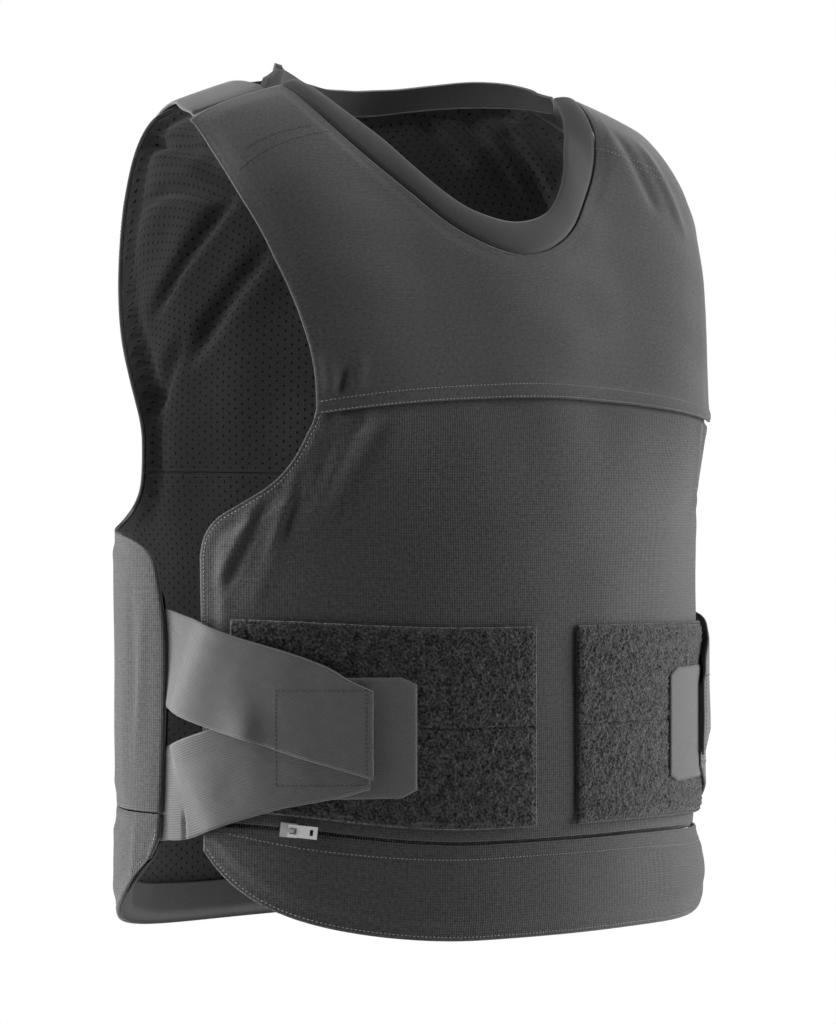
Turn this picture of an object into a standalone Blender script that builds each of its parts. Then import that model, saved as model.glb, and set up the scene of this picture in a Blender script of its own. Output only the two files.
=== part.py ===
"""Concealable soft armour vest, worn form, standing open as it hangs from the shoulders.

Metres, +Z up. The front of the vest faces -Y and the wearer's left side is +X.
The origin lies between the two shoulders, level with the underside of the shoulder straps.

The whole vest follows one body form. A place on it is given by a turn and a rise.
The turn is in degrees round the body: 0 at the middle of the front, 90 at the wearer's left
side, 180 at the middle of the back, and negative on the wearer's right side.
The rise is in mm up the cloth: 0 at the front hem, CHEST_RISE where the shoulders begin
to lean in, and RIDGE_RISE on top of the shoulder.
Every cloth piece is a flat grid whose corners are laid on the form, at its own depth.
"""

import math

import bmesh
import bpy
from mathutils import Matrix, Vector

MM = 0.001

# Body form, in mm
HALF_WIDTH = 188.0
FRONT_DEPTH_WAIST = 121.0
FRONT_DEPTH_CHEST = 118.0
BACK_DEPTH_WAIST = 110.0
BACK_DEPTH_CHEST = 118.0
FRONT_FULLNESS = 1.6
SIDE_FULLNESS = 2.2
BACK_FULLNESS = 3.0
CHEST_RISE = 267.0
CLIMB_TO_RIDGE = 235.0
RIDGE_RISE = CHEST_RISE + CLIMB_TO_RIDGE
RIDGE_HEIGHT = 463.0
RIDGE_NECK_X = 105.0
RIDGE_SLOPE = 0.36
BACK_NECK_SLOPE = 0.17
RIDGE_ROUNDING = 60.0
WAIST_BLEND = 100.0
ORIGIN_HEIGHT = 445.0
# Degrees and mm either side of a place that its outward direction is read over
FORM_STEP = 0.4

# The stiff chest stands off the body beside the armholes, and comes back to it at the shoulders
CHEST_BREADTH = 0.077
CHEST_DEPTH = 0.13
CHEST_START_TURN = 10.0
CHEST_END_TURN = 50.0
CHEST_LOW_RISE = 215.0
CHEST_FULL_RISE = 290.0
CHEST_FADE_RISE = 430.0
CHEST_TOP_RISE = 492.0
FULLNESS_START_TURN = 20.0
FULLNESS_END_TURN = 56.0

# The wearer's right lower front is drawn up a little by its straps
PULL_RIGHT = 12.0
PULL_LEFT = -3.0
PULL_START_TURN = 15.0
PULL_END_TURN = 65.0
PULL_TOP_RISE = 260.0
PULL_FULL_RISE = 50.0

# Cloth and padding, in mm
GAP = 0.3
SEAM_GAP = 1.8
PAD = 6.0
LINING = 1.0
LINING_GAP = 1.2
LOOP_PILE = 2.0
HOOK_TAPE = 1.4
ELASTIC = 1.2
ELASTIC_WIDTH = 50.0
SHOULDER_ELASTIC = 1.6
BAND = 4.0
BAND_CROWN = 1.6
# Share of the band's width that its seam takes up, and its depth under the yoke at the seam
BAND_START = 0.05
BAND_SINK = 1.0
BACK_BAND_HEIGHT = 10.0
BACK_BAND_SINK = 0.6
BACK_BAND_LEAN = 1.5
BAND_LIFT = 1.3

# Heights of the front, in mm of rise
ZIP_RISE = 51.5
ZIP_LIP = 1.3
ZIP_TAPE_HALF = 8.0
SEAM_RISE_CENTRE = 294.0
SEAM_RISE_SIDE = 284.1
FRONT_SIDE_TURN = 70.0
BACK_SEAM_RISE = 62.0
# Below this rise the front's sides run straight, in this share of the panel's grid rows
ARMHOLE_RISE = 200.0
STRAIGHT_SHARE = 0.35

# Places between rows of the back's table: the back seam, and the top of the hem facing
BACK_SEAM_LEVEL = 2
FACING_LEVEL = 1.1
SEAM_STEP = 0.03

# Outer edge of the front between the zip and the chest seam
FRONT_SIDE = (
    # rise, turn
    (ZIP_RISE, 70.0),
    (120.0, 70.5),
    (190.0, 71.0),
    (205.0, 70.8),
    (215.0, 69.4),
    (223.0, 66.3),
    (230.0, 61.2),
    (240.0, 54.5),
    (251.9, 49.9),
    (267.5, 46.6),
    (SEAM_RISE_SIDE, 44.9),
)

# Yoke rows, from the chest seam to the shoulder end
YOKE_ROWS = (
    # inner_turn, inner_rise, outer_turn, outer_rise
    (0.0, SEAM_RISE_CENTRE, 44.9, SEAM_RISE_SIDE),
    (0.0, 325.0, 44.8, 311.0),
    (0.0, 358.0, 45.4, 336.2),
    (0.0, 387.5, 46.7, 359.8),
    (5.0, 390.5, 47.5, 370.5),
    (10.2, 398.5, 48.6, 383.1),
    (14.9, 409.6, 50.1, 398.0),
    (20.1, 426.7, 51.8, 415.5),
    (25.9, 445.8, 54.3, 435.1),
    (29.5, 459.9, 57.2, 454.3),
    (32.0, 473.0, 60.3, 470.8),
    (34.0, 489.3, 62.9, 486.2),
)

# Inner edge of the front neck band, level by level with the yoke's neck edge
NECK_INNER = (
    # turn, rise
    (0.0, 406.5),
    (4.2, 408.5),
    (8.6, 414.0),
    (12.5, 423.4),
    (16.7, 437.5),
    (20.8, 454.3),
    (24.4, 466.9),
    (27.0, 477.5),
    (29.5, 490.5),
)

# Back rows, from the hem to the shoulder end
BACK_ROWS = (
    # inner_turn, inner_rise, outer_turn, outer_rise, bow
    (180.0, -5.0, 86.0, 44.0, 3.4),
    (180.0, 25.0, 83.5, 53.0, 2.5),
    (180.0, BACK_SEAM_RISE, 82.6, BACK_SEAM_RISE, 1.0),
    (180.0, 105.0, 81.2, 105.0, 1.0),
    (180.0, 160.0, 80.8, 160.0, 1.0),
    (180.0, 192.0, 83.0, 190.0, 1.0),
    (180.0, 206.0, 84.8, 202.0, 1.0),
    (180.0, 213.0, 89.0, 209.0, 1.0),
    (180.0, 219.0, 97.0, 213.5, 1.0),
    (180.0, 225.0, 112.0, 217.0, 1.0),
    (180.0, 233.0, 126.0, 222.0, 1.0),
    (180.0, 245.0, 135.5, 233.0, 1.0),
    (180.0, 262.0, 139.0, 250.0, 1.0),
    (180.0, 290.0, 138.6, 282.0, 1.0),
    (180.0, 330.0, 133.0, 325.0, 1.0),
    (180.0, 372.0, 126.5, 368.0, 1.0),
    (180.0, 412.0, 121.5, 408.0, 1.0),
    (180.0, 451.0, 119.8, 430.0, 1.0),
    (175.5, 451.8, 119.6, 437.5, 1.0),
    (170.5, 455.5, 119.6, 445.0, 1.0),
    (164.0, 464.5, 120.0, 455.0, 1.0),
    (156.5, 478.5, 121.0, 467.0, 1.0),
    (151.0, 492.0, 122.5, 479.0, 1.0),
)

# Back neckline, from the middle of the back to the ridge
BACK_NECK = (
    # turn, rise
    (180.0, 451.0),
    (175.5, 451.8),
    (170.5, 455.5),
    (164.0, 464.5),
    (156.5, 478.5),
    (151.0, 492.0),
    (148.0, 501.5),
)

# Side straps of the wearer's right side, from the back flap to the end on the front
STRAP_UPPER_RIGHT = (
    # turn, rise of the middle, height of the underside over the form
    (80.25, 150.5, -3.6),
    (76.0, 147.5, -0.8),
    (71.0, 143.5, 5.3),
    (63.6, 137.5, 6.4),
    (54.4, 130.5, 6.4),
    (47.9, 124.0, 6.4),
    (41.8, 117.0, 6.4),
    (35.8, 110.5, 6.4),
)
STRAP_LOWER_RIGHT = (
    # turn, rise of the middle, height of the underside over the form
    (80.75, 79.0, -3.6),
    (76.4, 80.0, -1.5),
    (71.0, 84.5, 3.5),
    (63.6, 90.5, 4.5),
    (54.4, 97.0, 4.5),
    (46.2, 101.0, 4.5),
    (41.0, 103.5, 4.5),
    (36.2, 106.5, 4.5),
)
# On the wearer's left side the same straps end nearer the side
LEFT_END_SHIFT = 12.2
STRAP_HOLD_TURN = 71.0
# Shares of a strap's length: the step its slope is read over, and the part that turns square
STRAP_LOOK = 0.02
STRAP_SQUARE_SHARE = 0.25

# Loop patches and hook tabs
PATCH_BOTTOM = 59.0
PATCH_TOP = 166.0
PATCH_INNER_TURN = 4.4
PATCH_OUTER_TURN = 63.3
TAB_BOTTOM = 77.0
TAB_TOP = 140.5
TAB_RIGHT_TURNS = (27.6, 53.0)
TAB_LEFT_TURNS = (31.0, 60.0)
TAB_CHAMFER = 4.0
TAB_COLUMNS = 9

# Shoulder elastic: distance past the ridge, and height of its underside over the form
SHOULDER_RUN = (
    # past, height
    (-42.0, -8.4),
    (-10.0, -8.4),
    (-4.0, -6.0),
    (6.0, -2.2),
    (17.0, 1.0),
    (36.0, 1.4),
    (60.0, 1.2),
)
SHOULDER_INNER_TURN = 35.0
SHOULDER_OUTER_TURN = 57.5

# Zip slider and its pull tab, in mm
SLIDER_TURN = -51.2
SLIDER_LENGTH = 9.0
SLIDER_WIDTH = 7.4
SLIDER_HEIGHT = 2.6
CROWN_HALF = 2.7
CROWN_LEG = 0.8
CROWN_WIDTH = 1.8
CROWN_OPENING = 2.0
CROWN_TOP = 0.9
CROWN_FOOT = 0.6
PULL_LENGTH = 15.0
PULL_WIDTH = 6.5
PULL_THICK = 1.0
PULL_EYE_LENGTH = 3.6
PULL_EYE_WIDTH = 3.4
PULL_SLOT_START = 11.0
PULL_SLOT_LENGTH = 1.8
PULL_SLOT_WIDTH = 3.2


def smooth(value):
    """0 below 0, 1 above 1, and an even S between."""
    value = max(0.0, min(1.0, value))
    return value * value * (3.0 - 2.0 * value)


def through(table, place):
    """A smooth row of values between the rows of a table; place runs from 0 to 1."""
    last = len(table) - 1
    along = place * last
    index = min(int(along), last - 1)
    part = along - index
    values = []
    for column in range(len(table[0])):
        before = table[max(index - 1, 0)][column]
        start = table[index][column]
        end = table[index + 1][column]
        after = table[min(index + 2, last)][column]
        slope_start = (end - before) / 2.0
        slope_end = (after - start) / 2.0
        square = part * part
        cube = square * part
        values.append(
            (2 * cube - 3 * square + 1) * start
            + (cube - 2 * square + part) * slope_start
            + (3 * square - 2 * cube) * end
            + (cube - square) * slope_end
        )
    return values


def ridge_height(x, front):
    """Top of the shoulder at x mm from the middle; behind, the cloth crosses the neck lower."""
    slope_run = math.hypot(x, RIDGE_ROUNDING) - math.hypot(RIDGE_NECK_X, RIDGE_ROUNDING)
    slope = BACK_NECK_SLOPE if slope_run < 0.0 and not front else RIDGE_SLOPE
    return RIDGE_HEIGHT - slope * slope_run


def share(value, start, end):
    """How far a value has gone from start to end, as an even S."""
    return smooth((value - start) / (end - start))


def chest_stand_off(turn, rise):
    """0 where the front follows the body, 1 where its stiff chest stands off most."""
    sideways = share(abs(turn), CHEST_START_TURN, CHEST_END_TURN)
    grown = share(rise, CHEST_LOW_RISE, CHEST_FULL_RISE)
    gone = share(rise, CHEST_FADE_RISE, CHEST_TOP_RISE)
    return sideways * grown * (1.0 - gone)


def bare_form(turn, rise):
    """The body's surface in mm, with heights counted from the front hem."""
    angle = math.radians(turn)
    facing = math.cos(angle)
    front = facing >= 0.0
    stand_off = chest_stand_off(turn, rise) if front else 0.0
    x = HALF_WIDTH * math.sin(angle) * (1.0 + CHEST_BREADTH * stand_off)
    deeper = 1.0 + CHEST_DEPTH * stand_off
    chest = deeper * (FRONT_DEPTH_CHEST if front else BACK_DEPTH_CHEST)
    if rise < CHEST_RISE:
        waist = deeper * (FRONT_DEPTH_WAIST if front else BACK_DEPTH_WAIST)
        low = smooth((CHEST_RISE - rise) / WAIST_BLEND)
        depth = chest + (waist - chest) * low
        return Vector((x, -depth * facing, rise))
    half_depth = max(abs(chest * facing), 1.0)
    half_height = ridge_height(x, front) - CHEST_RISE
    lean = math.radians(min(90.0, 90.0 * (rise - CHEST_RISE) / CLIMB_TO_RIDGE))
    power = BACK_FULLNESS
    if front:
        sideways = share(abs(turn), FULLNESS_START_TURN, FULLNESS_END_TURN)
        power = FRONT_FULLNESS + (SIDE_FULLNESS - FRONT_FULLNESS) * sideways
    across = (max(math.cos(lean), 0.0) / half_depth) ** power
    upward = (math.sin(lean) / half_height) ** power
    reach = (across + upward) ** (-1.0 / power)
    side = -1.0 if front else 1.0
    return Vector((x, side * reach * math.cos(lean), CHEST_RISE + reach * math.sin(lean)))


def pull(turn, rise):
    """How far the straps draw the lower front up, in mm."""
    amount = PULL_RIGHT if turn < 0.0 else PULL_LEFT
    sideways = share(abs(turn), PULL_START_TURN, PULL_END_TURN)
    return amount * sideways * share(rise, PULL_TOP_RISE, PULL_FULL_RISE)


def on_form(turn, rise, height=0.0, pulled=False):
    """A point of a cloth piece in metres, height mm off the form."""
    point = bare_form(turn, rise)
    round_body = bare_form(turn + FORM_STEP, rise) - bare_form(turn - FORM_STEP, rise)
    up_cloth = bare_form(turn, rise + FORM_STEP) - bare_form(turn, rise - FORM_STEP)
    outward = round_body.cross(up_cloth).normalized()
    point += outward * height
    if pulled:
        point.z += pull(turn, rise)
    point.z -= ORIGIN_HEIGHT
    return point * MM


def past_ridge(turn, past, height):
    """A point on the shoulder, past mm behind the ridge, on the wearer's left."""
    if past <= 0.0:
        return on_form(turn, RIDGE_RISE + past, height)
    return on_form(180.0 - turn, RIDGE_RISE - past, height)


def make_material(name, colour, roughness, metallic=0.0):
    material = bpy.data.materials.new(name)
    material.use_nodes = True
    shader = material.node_tree.nodes["Principled BSDF"]
    shader.inputs["Base Color"].default_value = (*colour, 1.0)
    shader.inputs["Roughness"].default_value = roughness
    shader.inputs["Metallic"].default_value = metallic
    return material


def add_object(name, mesh, collection, material):
    piece = bpy.data.objects.new(name, mesh)
    collection.objects.link(piece)
    mesh.materials.append(material)
    return piece


def cloth(name, collection, material, columns, rows, place, thickness, halved=False):
    """A closed cloth piece: a flat grid laid by place(across, up), thickened inwards."""
    grid = bmesh.new()
    bmesh.ops.create_grid(grid, x_segments=columns, y_segments=rows, size=0.5)
    for corner in grid.verts:
        corner.co = place(corner.co.x + 0.5, corner.co.y + 0.5)
    grid.normal_update()
    middle = min(grid.faces, key=lambda face: abs(face.calc_center_median().x))
    centre = middle.calc_center_median()
    if middle.normal.dot(Vector((centre.x, centre.y, 0.0))) < 0.0:
        bmesh.ops.reverse_faces(grid, faces=grid.faces[:])
    mesh = bpy.data.meshes.new(name)
    grid.to_mesh(mesh)
    grid.free()
    piece = add_object(name, mesh, collection, material)
    if halved:
        mirror = piece.modifiers.new("other half", "MIRROR")
        mirror.use_clip = True
        mirror.merge_threshold = 0.0001
    wall = piece.modifiers.new("wall", "SOLIDIFY")
    wall.thickness = thickness * MM
    wall.offset = -1.0
    return piece


def front_row(rise_side, across):
    """Turn and rise on a row of the front; rows bow up to the chest seam's arch."""
    arch = (SEAM_RISE_CENTRE - SEAM_RISE_SIDE) * share(rise_side, ARMHOLE_RISE, SEAM_RISE_SIDE)
    return rise_side + arch * (1.0 - across * across)


def side_turn(rise):
    """The front's outer edge at a rise, between the rows of its table."""
    for (low, low_turn), (high, high_turn) in zip(FRONT_SIDE, FRONT_SIDE[1:]):
        if rise <= high:
            part = max(0.0, (rise - low) / (high - low))
            return low_turn + (high_turn - low_turn) * part
    return FRONT_SIDE[-1][1]


def front_panel(collection, material):
    """Padded front from the zip to the chest seam, rounded up to the armholes."""
    bottom = ZIP_RISE + ZIP_LIP
    top = SEAM_RISE_SIDE - SEAM_GAP

    def place(across, up):
        side = 2.0 * across - 1.0
        if up < STRAIGHT_SHARE:
            rise = bottom + (ARMHOLE_RISE - bottom) * up / STRAIGHT_SHARE
        else:
            part = (up - STRAIGHT_SHARE) / (1.0 - STRAIGHT_SHARE)
            rise = ARMHOLE_RISE + (top - ARMHOLE_RISE) * part
        return on_form(side * side_turn(rise), front_row(rise, side), pulled=True)

    return cloth("front_panel", collection, material, 20, 16, place, PAD)


def front_hem_panel(collection, material):
    """Padded strip below the zip, with rounded lower corners."""
    corner_rise = 38.0
    corner_power = 6.0

    def place(across, up):
        side = 2.0 * across - 1.0
        hem = corner_rise * abs(side) ** corner_power
        rise = hem + (ZIP_RISE - ZIP_LIP - hem) * up
        return on_form(side * FRONT_SIDE_TURN, rise, pulled=True)

    return cloth("front_hem_panel", collection, material, 20, 4, place, PAD)


def front_yoke(collection, material):
    """Padded yoke from the chest seam to the two shoulder ends, in mirrored halves."""

    def place(across, up):
        inner_turn, inner_rise, outer_turn, outer_rise = through(YOKE_ROWS, up)
        turn = inner_turn + (outer_turn - inner_turn) * across
        rise = inner_rise + (outer_rise - inner_rise) * across
        if up == 0.0:
            rise = front_row(SEAM_RISE_SIDE, across)
        return on_form(max(turn, 0.0), rise)

    return cloth("front_yoke", collection, material, 10, 22, place, PAD, halved=True)


def front_neck_band(collection, material):
    """Rounded band along the front neckline, in mirrored halves."""
    first = 3.0 / (len(YOKE_ROWS) - 1)

    def place(across, up):
        seam_turn, seam_rise = through(YOKE_ROWS, first + (1.0 - first) * up)[:2]
        inner_turn, inner_rise = through(NECK_INNER, up)
        part = BAND_START + (1.0 - BAND_START) * across
        turn = seam_turn + (inner_turn - seam_turn) * part
        rise = seam_rise + (inner_rise - seam_rise) * part
        crown = BAND_CROWN * (1.0 - (2.0 * across - 1.0) ** 2)
        return on_form(max(turn, 0.0), rise, crown - BAND_SINK)

    return cloth("front_neck_band", collection, material, 4, 16, place, BAND, halved=True)


def back_piece(name, collection, material, levels, height, thickness, inset=0.0):
    """A back piece in mirrored halves, with a row of its grid at each level of the back's table."""
    columns = 10
    last = len(BACK_ROWS) - 1

    def place(across, up):
        level = levels[round(up * (len(levels) - 1))]
        inner_turn, inner_rise, outer_turn, outer_rise, bow = through(BACK_ROWS, level / last)
        outer_turn += inset
        turn = inner_turn + (outer_turn - inner_turn) * across
        rise = inner_rise + (outer_rise - inner_rise) * across ** max(bow, 1.0)
        return on_form(min(turn, 180.0), rise, height)

    return cloth(name, collection, material, columns, len(levels) - 1, place, thickness, halved=True)


def back_panels(collection, material):
    """Padded back with its two side flaps, and the strip below its seam."""
    last = len(BACK_ROWS) - 1
    upper = [BACK_SEAM_LEVEL + SEAM_STEP, *range(BACK_SEAM_LEVEL + 1, last + 1)]
    lower = [*range(BACK_SEAM_LEVEL), BACK_SEAM_LEVEL - SEAM_STEP]
    back_piece("back_hem_panel", collection, material, lower, 0.0, PAD)
    back_piece("back_panel", collection, material, upper, 0.0, PAD)


def back_lining(collection, material, facing_material):
    """Perforated lining inside the back, and the plain facing along its hem."""
    under = -PAD - LINING_GAP
    last = len(BACK_ROWS) - 1
    inset = 1.0
    lining = [FACING_LEVEL + SEAM_STEP, *range(BACK_SEAM_LEVEL, last), last - 0.1]
    facing = [SEAM_STEP, FACING_LEVEL - SEAM_STEP]
    back_piece("back_lining", collection, material, lining, under, LINING, inset)
    back_piece("back_hem_facing", collection, facing_material, facing, under, LINING, inset)


def back_neck_band(collection, material):
    """Band that stands up from the back neckline, in mirrored halves."""

    def place(across, up):
        turn, rise = through(BACK_NECK, across)
        foot = on_form(turn, rise, -BACK_BAND_SINK)
        inward = Vector((-foot.x, -foot.y, 0.0)).normalized()
        climb = Vector((0.0, 0.0, BAND_LIFT + BACK_BAND_HEIGHT * up))
        return foot + (climb + inward * BACK_BAND_LEAN * up) * MM

    return cloth("back_neck_band", collection, material, 15, 2, place, BAND, halved=True)


def strap(name, collection, material, table, mirrored):
    """Elastic side strap of constant width, laid along its table of middle points."""
    side = 1.0 if mirrored else -1.0
    thickness = ELASTIC

    def place(across, up):
        turn, rise, height = through(table, across)
        ahead = through(table, min(across + STRAP_LOOK, 1.0))
        behind = through(table, max(across - STRAP_LOOK, 0.0))
        run = bare_form(ahead[0], ahead[1]) - bare_form(behind[0], behind[1])
        level = math.hypot(run.x, run.y)
        slope = math.atan2(run.z, level)
        reach = (up - 0.5) * ELASTIC_WIDTH
        per_degree = level / abs(ahead[0] - behind[0])
        square = min(1.0, across / STRAP_SQUARE_SHARE)
        lean = reach * math.sin(slope) / per_degree * square
        return on_form(side * (turn + lean), rise + reach * math.cos(slope), height + thickness)

    return cloth(name, collection, material, 16, 2, place, thickness)


def left_table(table):
    """The same strap on the wearer's left, with its front part drawn nearer the side."""
    rows = []
    for turn, rise, height in table:
        if turn < STRAP_HOLD_TURN:
            part = (STRAP_HOLD_TURN - turn) / (STRAP_HOLD_TURN - table[-1][0])
            turn += LEFT_END_SHIFT * part
        rows.append((turn, rise, height))
    return tuple(rows)


def side_straps(collection, material):
    strap("strap_right_upper", collection, material, STRAP_UPPER_RIGHT, False)
    strap("strap_right_lower", collection, material, STRAP_LOWER_RIGHT, False)
    strap("strap_left_upper", collection, material, left_table(STRAP_UPPER_RIGHT), True)
    strap("strap_left_lower", collection, material, left_table(STRAP_LOWER_RIGHT), True)


def loop_patches(collection, material):
    """Two loop pile patches on the belly, one each side of the middle."""
    for name, side in (("loop_patch_right", -1.0), ("loop_patch_left", 1.0)):

        def place(across, up, side=side):
            turn = PATCH_INNER_TURN + (PATCH_OUTER_TURN - PATCH_INNER_TURN) * across
            rise = PATCH_BOTTOM + (PATCH_TOP - PATCH_BOTTOM) * up
            return on_form(side * turn, rise, GAP + LOOP_PILE, pulled=True)

        cloth(name, collection, material, 12, 4, place, LOOP_PILE)


def hook_tabs(collection, material):
    """Hook tabs under the strap ends, with their two outer corners cut off."""
    under = GAP + LOOP_PILE + GAP
    for name, side, turns in (
        ("hook_tab_right", -1.0, TAB_RIGHT_TURNS),
        ("hook_tab_left", 1.0, TAB_LEFT_TURNS),
    ):

        def place(across, up, side=side, turns=turns):
            trim = TAB_CHAMFER * max(0.0, 1.0 - across * TAB_COLUMNS)
            turn = turns[0] + (turns[1] - turns[0]) * across
            bottom = TAB_BOTTOM + trim
            rise = bottom + (TAB_TOP - trim - bottom) * up
            return on_form(side * turn, rise, under + HOOK_TAPE)

        cloth(name, collection, material, TAB_COLUMNS, 2, place, HOOK_TAPE)


def shoulder_straps(collection, material):
    """Paler elastic over each shoulder: on the back panel's end and under the front's."""
    for name, side in (("shoulder_strap_right", -1.0), ("shoulder_strap_left", 1.0)):

        def place(across, up, side=side):
            past, height = through(SHOULDER_RUN, up)
            turn = SHOULDER_INNER_TURN + (SHOULDER_OUTER_TURN - SHOULDER_INNER_TURN) * across
            point = past_ridge(turn, past, height + SHOULDER_ELASTIC)
            return Vector((side * point.x, point.y, point.z))

        cloth(name, collection, material, 4, 15, place, SHOULDER_ELASTIC)


def zip_tape(collection, material):
    """Zip tape behind the two lips of cloth."""

    def place(across, up):
        side = 2.0 * across - 1.0
        rise = ZIP_RISE + ZIP_TAPE_HALF * (2.0 * up - 1.0)
        return on_form(side * (FRONT_SIDE_TURN - 3.0), rise, -PAD - LINING_GAP, pulled=True)

    return cloth("zip_tape", collection, material, 20, 1, place, LINING)


def slider_frame():
    """Matrix at the slider's foot: X along the zip to the middle, Y up, Z outwards."""
    foot = on_form(SLIDER_TURN, ZIP_RISE, 0.0, pulled=True)
    ahead = on_form(SLIDER_TURN + 1.0, ZIP_RISE, 0.0, pulled=True)
    along = (ahead - foot).normalized()
    outward = along.cross(Vector((0.0, 0.0, 1.0))).normalized()
    upward = outward.cross(along).normalized()
    turn = Matrix((along, upward, outward)).transposed().to_4x4()
    return Matrix.Translation(foot) @ turn


def box(shape, low, high):
    """A box between two corners, in mm, added to a bmesh."""
    made = bmesh.ops.create_cube(shape, size=1.0)
    size = [(high[axis] - low[axis]) * MM for axis in range(3)]
    middle = [(high[axis] + low[axis]) / 2.0 * MM for axis in range(3)]
    bmesh.ops.scale(shape, vec=size, verts=made["verts"])
    bmesh.ops.translate(shape, vec=middle, verts=made["verts"])


def box_object(name, collection, material, low, high):
    shape = bmesh.new()
    box(shape, low, high)
    mesh = bpy.data.meshes.new(name)
    shape.to_mesh(mesh)
    shape.free()
    piece = add_object(name, mesh, collection, material)
    piece.matrix_world = slider_frame()
    return piece


def as_cutter(piece):
    piece.hide_render = True
    piece.display_type = "WIRE"
    return piece


def join_or_cut(piece, other, operation):
    change = piece.modifiers.new(other.name, "BOOLEAN")
    change.object = other
    change.operation = operation
    change.solver = "EXACT"


def zip_slider(collection, cutters, material):
    """Slider body with a bridge on it, which the pull tab's bar lies under."""
    half_long = SLIDER_LENGTH / 2.0
    half_wide = SLIDER_WIDTH / 2.0
    top = GAP + SLIDER_HEIGHT
    body = box_object(
        "zip_slider", collection, material,
        (-half_long, -half_wide, GAP), (half_long, half_wide, top),
    )
    bridge = as_cutter(box_object(
        "slider_bridge", cutters, material,
        (-CROWN_HALF, -CROWN_WIDTH / 2.0, top - CROWN_FOOT),
        (CROWN_HALF, CROWN_WIDTH / 2.0, top + CROWN_OPENING + CROWN_TOP),
    ))
    tunnel = as_cutter(box_object(
        "slider_tunnel", cutters, material,
        (CROWN_LEG - CROWN_HALF, -half_wide, top),
        (CROWN_HALF - CROWN_LEG, half_wide, top + CROWN_OPENING),
    ))
    join_or_cut(body, bridge, "UNION")
    join_or_cut(body, tunnel, "DIFFERENCE")
    return body


def zip_pull(collection, cutters, material):
    """Flat pull tab with an eye round the bridge and a slot near its far end."""
    middle = GAP + SLIDER_HEIGHT + CROWN_OPENING / 2.0
    half_thick = PULL_THICK / 2.0
    half_wide = PULL_WIDTH / 2.0
    tab = box_object(
        "zip_pull", collection, material,
        (-half_thick, -half_wide, middle - half_thick),
        (PULL_LENGTH, half_wide, middle + half_thick),
    )
    eye = as_cutter(box_object(
        "pull_eye", cutters, material,
        (half_thick, -PULL_EYE_WIDTH / 2.0, middle - PULL_THICK),
        (half_thick + PULL_EYE_LENGTH, PULL_EYE_WIDTH / 2.0, middle + PULL_THICK),
    ))
    slot = as_cutter(box_object(
        "pull_slot", cutters, material,
        (PULL_SLOT_START, -PULL_SLOT_WIDTH / 2.0, middle - PULL_THICK),
        (PULL_SLOT_START + PULL_SLOT_LENGTH, PULL_SLOT_WIDTH / 2.0, middle + PULL_THICK),
    ))
    join_or_cut(tab, eye, "DIFFERENCE")
    join_or_cut(tab, slot, "DIFFERENCE")
    return tab


def new_collection(name):
    collection = bpy.data.collections.new(name)
    bpy.context.scene.collection.children.link(collection)
    return collection


def clear_scene():
    for item in list(bpy.data.objects):
        bpy.data.objects.remove(item, do_unlink=True)


def main():
    clear_scene()
    vest = new_collection("soft_armour_vest")
    cutters = new_collection("cutters")
    cutters.hide_render = True

    charcoal = make_material("charcoal stretch cloth", (0.035, 0.036, 0.038), 0.85)
    binding = make_material("plain band cloth", (0.028, 0.029, 0.031), 0.8)
    mesh_cloth = make_material("perforated lining", (0.012, 0.012, 0.013), 0.9)
    pile = make_material("loop pile", (0.02, 0.02, 0.021), 1.0)
    hook = make_material("hook tape", (0.06, 0.061, 0.063), 0.7)
    elastic = make_material("ribbed elastic", (0.075, 0.077, 0.08), 0.75)
    tape = make_material("zip tape", (0.01, 0.01, 0.011), 0.8)
    metal = make_material("slider metal", (0.45, 0.45, 0.46), 0.35, 1.0)
    tab_metal = make_material("pull metal", (0.8, 0.8, 0.81), 0.35, 0.6)

    front_panel(vest, charcoal)
    front_hem_panel(vest, charcoal)
    front_yoke(vest, charcoal)
    front_neck_band(vest, binding)
    back_panels(vest, charcoal)
    back_lining(vest, mesh_cloth, binding)
    back_neck_band(vest, binding)
    shoulder_straps(vest, elastic)
    side_straps(vest, elastic)
    loop_patches(vest, pile)
    hook_tabs(vest, hook)
    zip_tape(vest, tape)
    zip_slider(vest, cutters, metal)
    zip_pull(vest, cutters, tab_metal)


main()
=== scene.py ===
# %% [markdown]
# # Dressing a concealable soft armour vest
#
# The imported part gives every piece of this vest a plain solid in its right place. This lesson sews
# the real cloth over those solids: padded panels with thin margins, a perforated lining, ribbed
# elastic straps, loop patches, a zip and all the stitching.
#
# Run it from the top. Each cell makes one piece or one finish, and prints what it made.

import bmesh
import bpy
import numpy as np
from mathutils import Matrix, Vector
from mathutils.bvhtree import BVHTree
from mathutils.kdtree import KDTree


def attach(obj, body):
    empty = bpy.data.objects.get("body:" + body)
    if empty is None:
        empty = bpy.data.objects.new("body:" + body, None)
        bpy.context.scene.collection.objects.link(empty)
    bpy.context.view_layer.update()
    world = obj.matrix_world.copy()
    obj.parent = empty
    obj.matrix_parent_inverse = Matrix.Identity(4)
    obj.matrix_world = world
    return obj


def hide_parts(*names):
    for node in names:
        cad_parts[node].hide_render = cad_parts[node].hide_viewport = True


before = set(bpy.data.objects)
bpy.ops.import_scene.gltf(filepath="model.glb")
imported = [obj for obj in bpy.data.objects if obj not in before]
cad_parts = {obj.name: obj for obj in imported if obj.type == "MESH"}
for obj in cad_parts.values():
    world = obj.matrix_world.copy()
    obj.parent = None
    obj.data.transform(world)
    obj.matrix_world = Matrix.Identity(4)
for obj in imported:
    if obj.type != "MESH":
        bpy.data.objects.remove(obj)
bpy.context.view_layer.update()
print("solids of the frame:", len(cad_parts))

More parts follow.
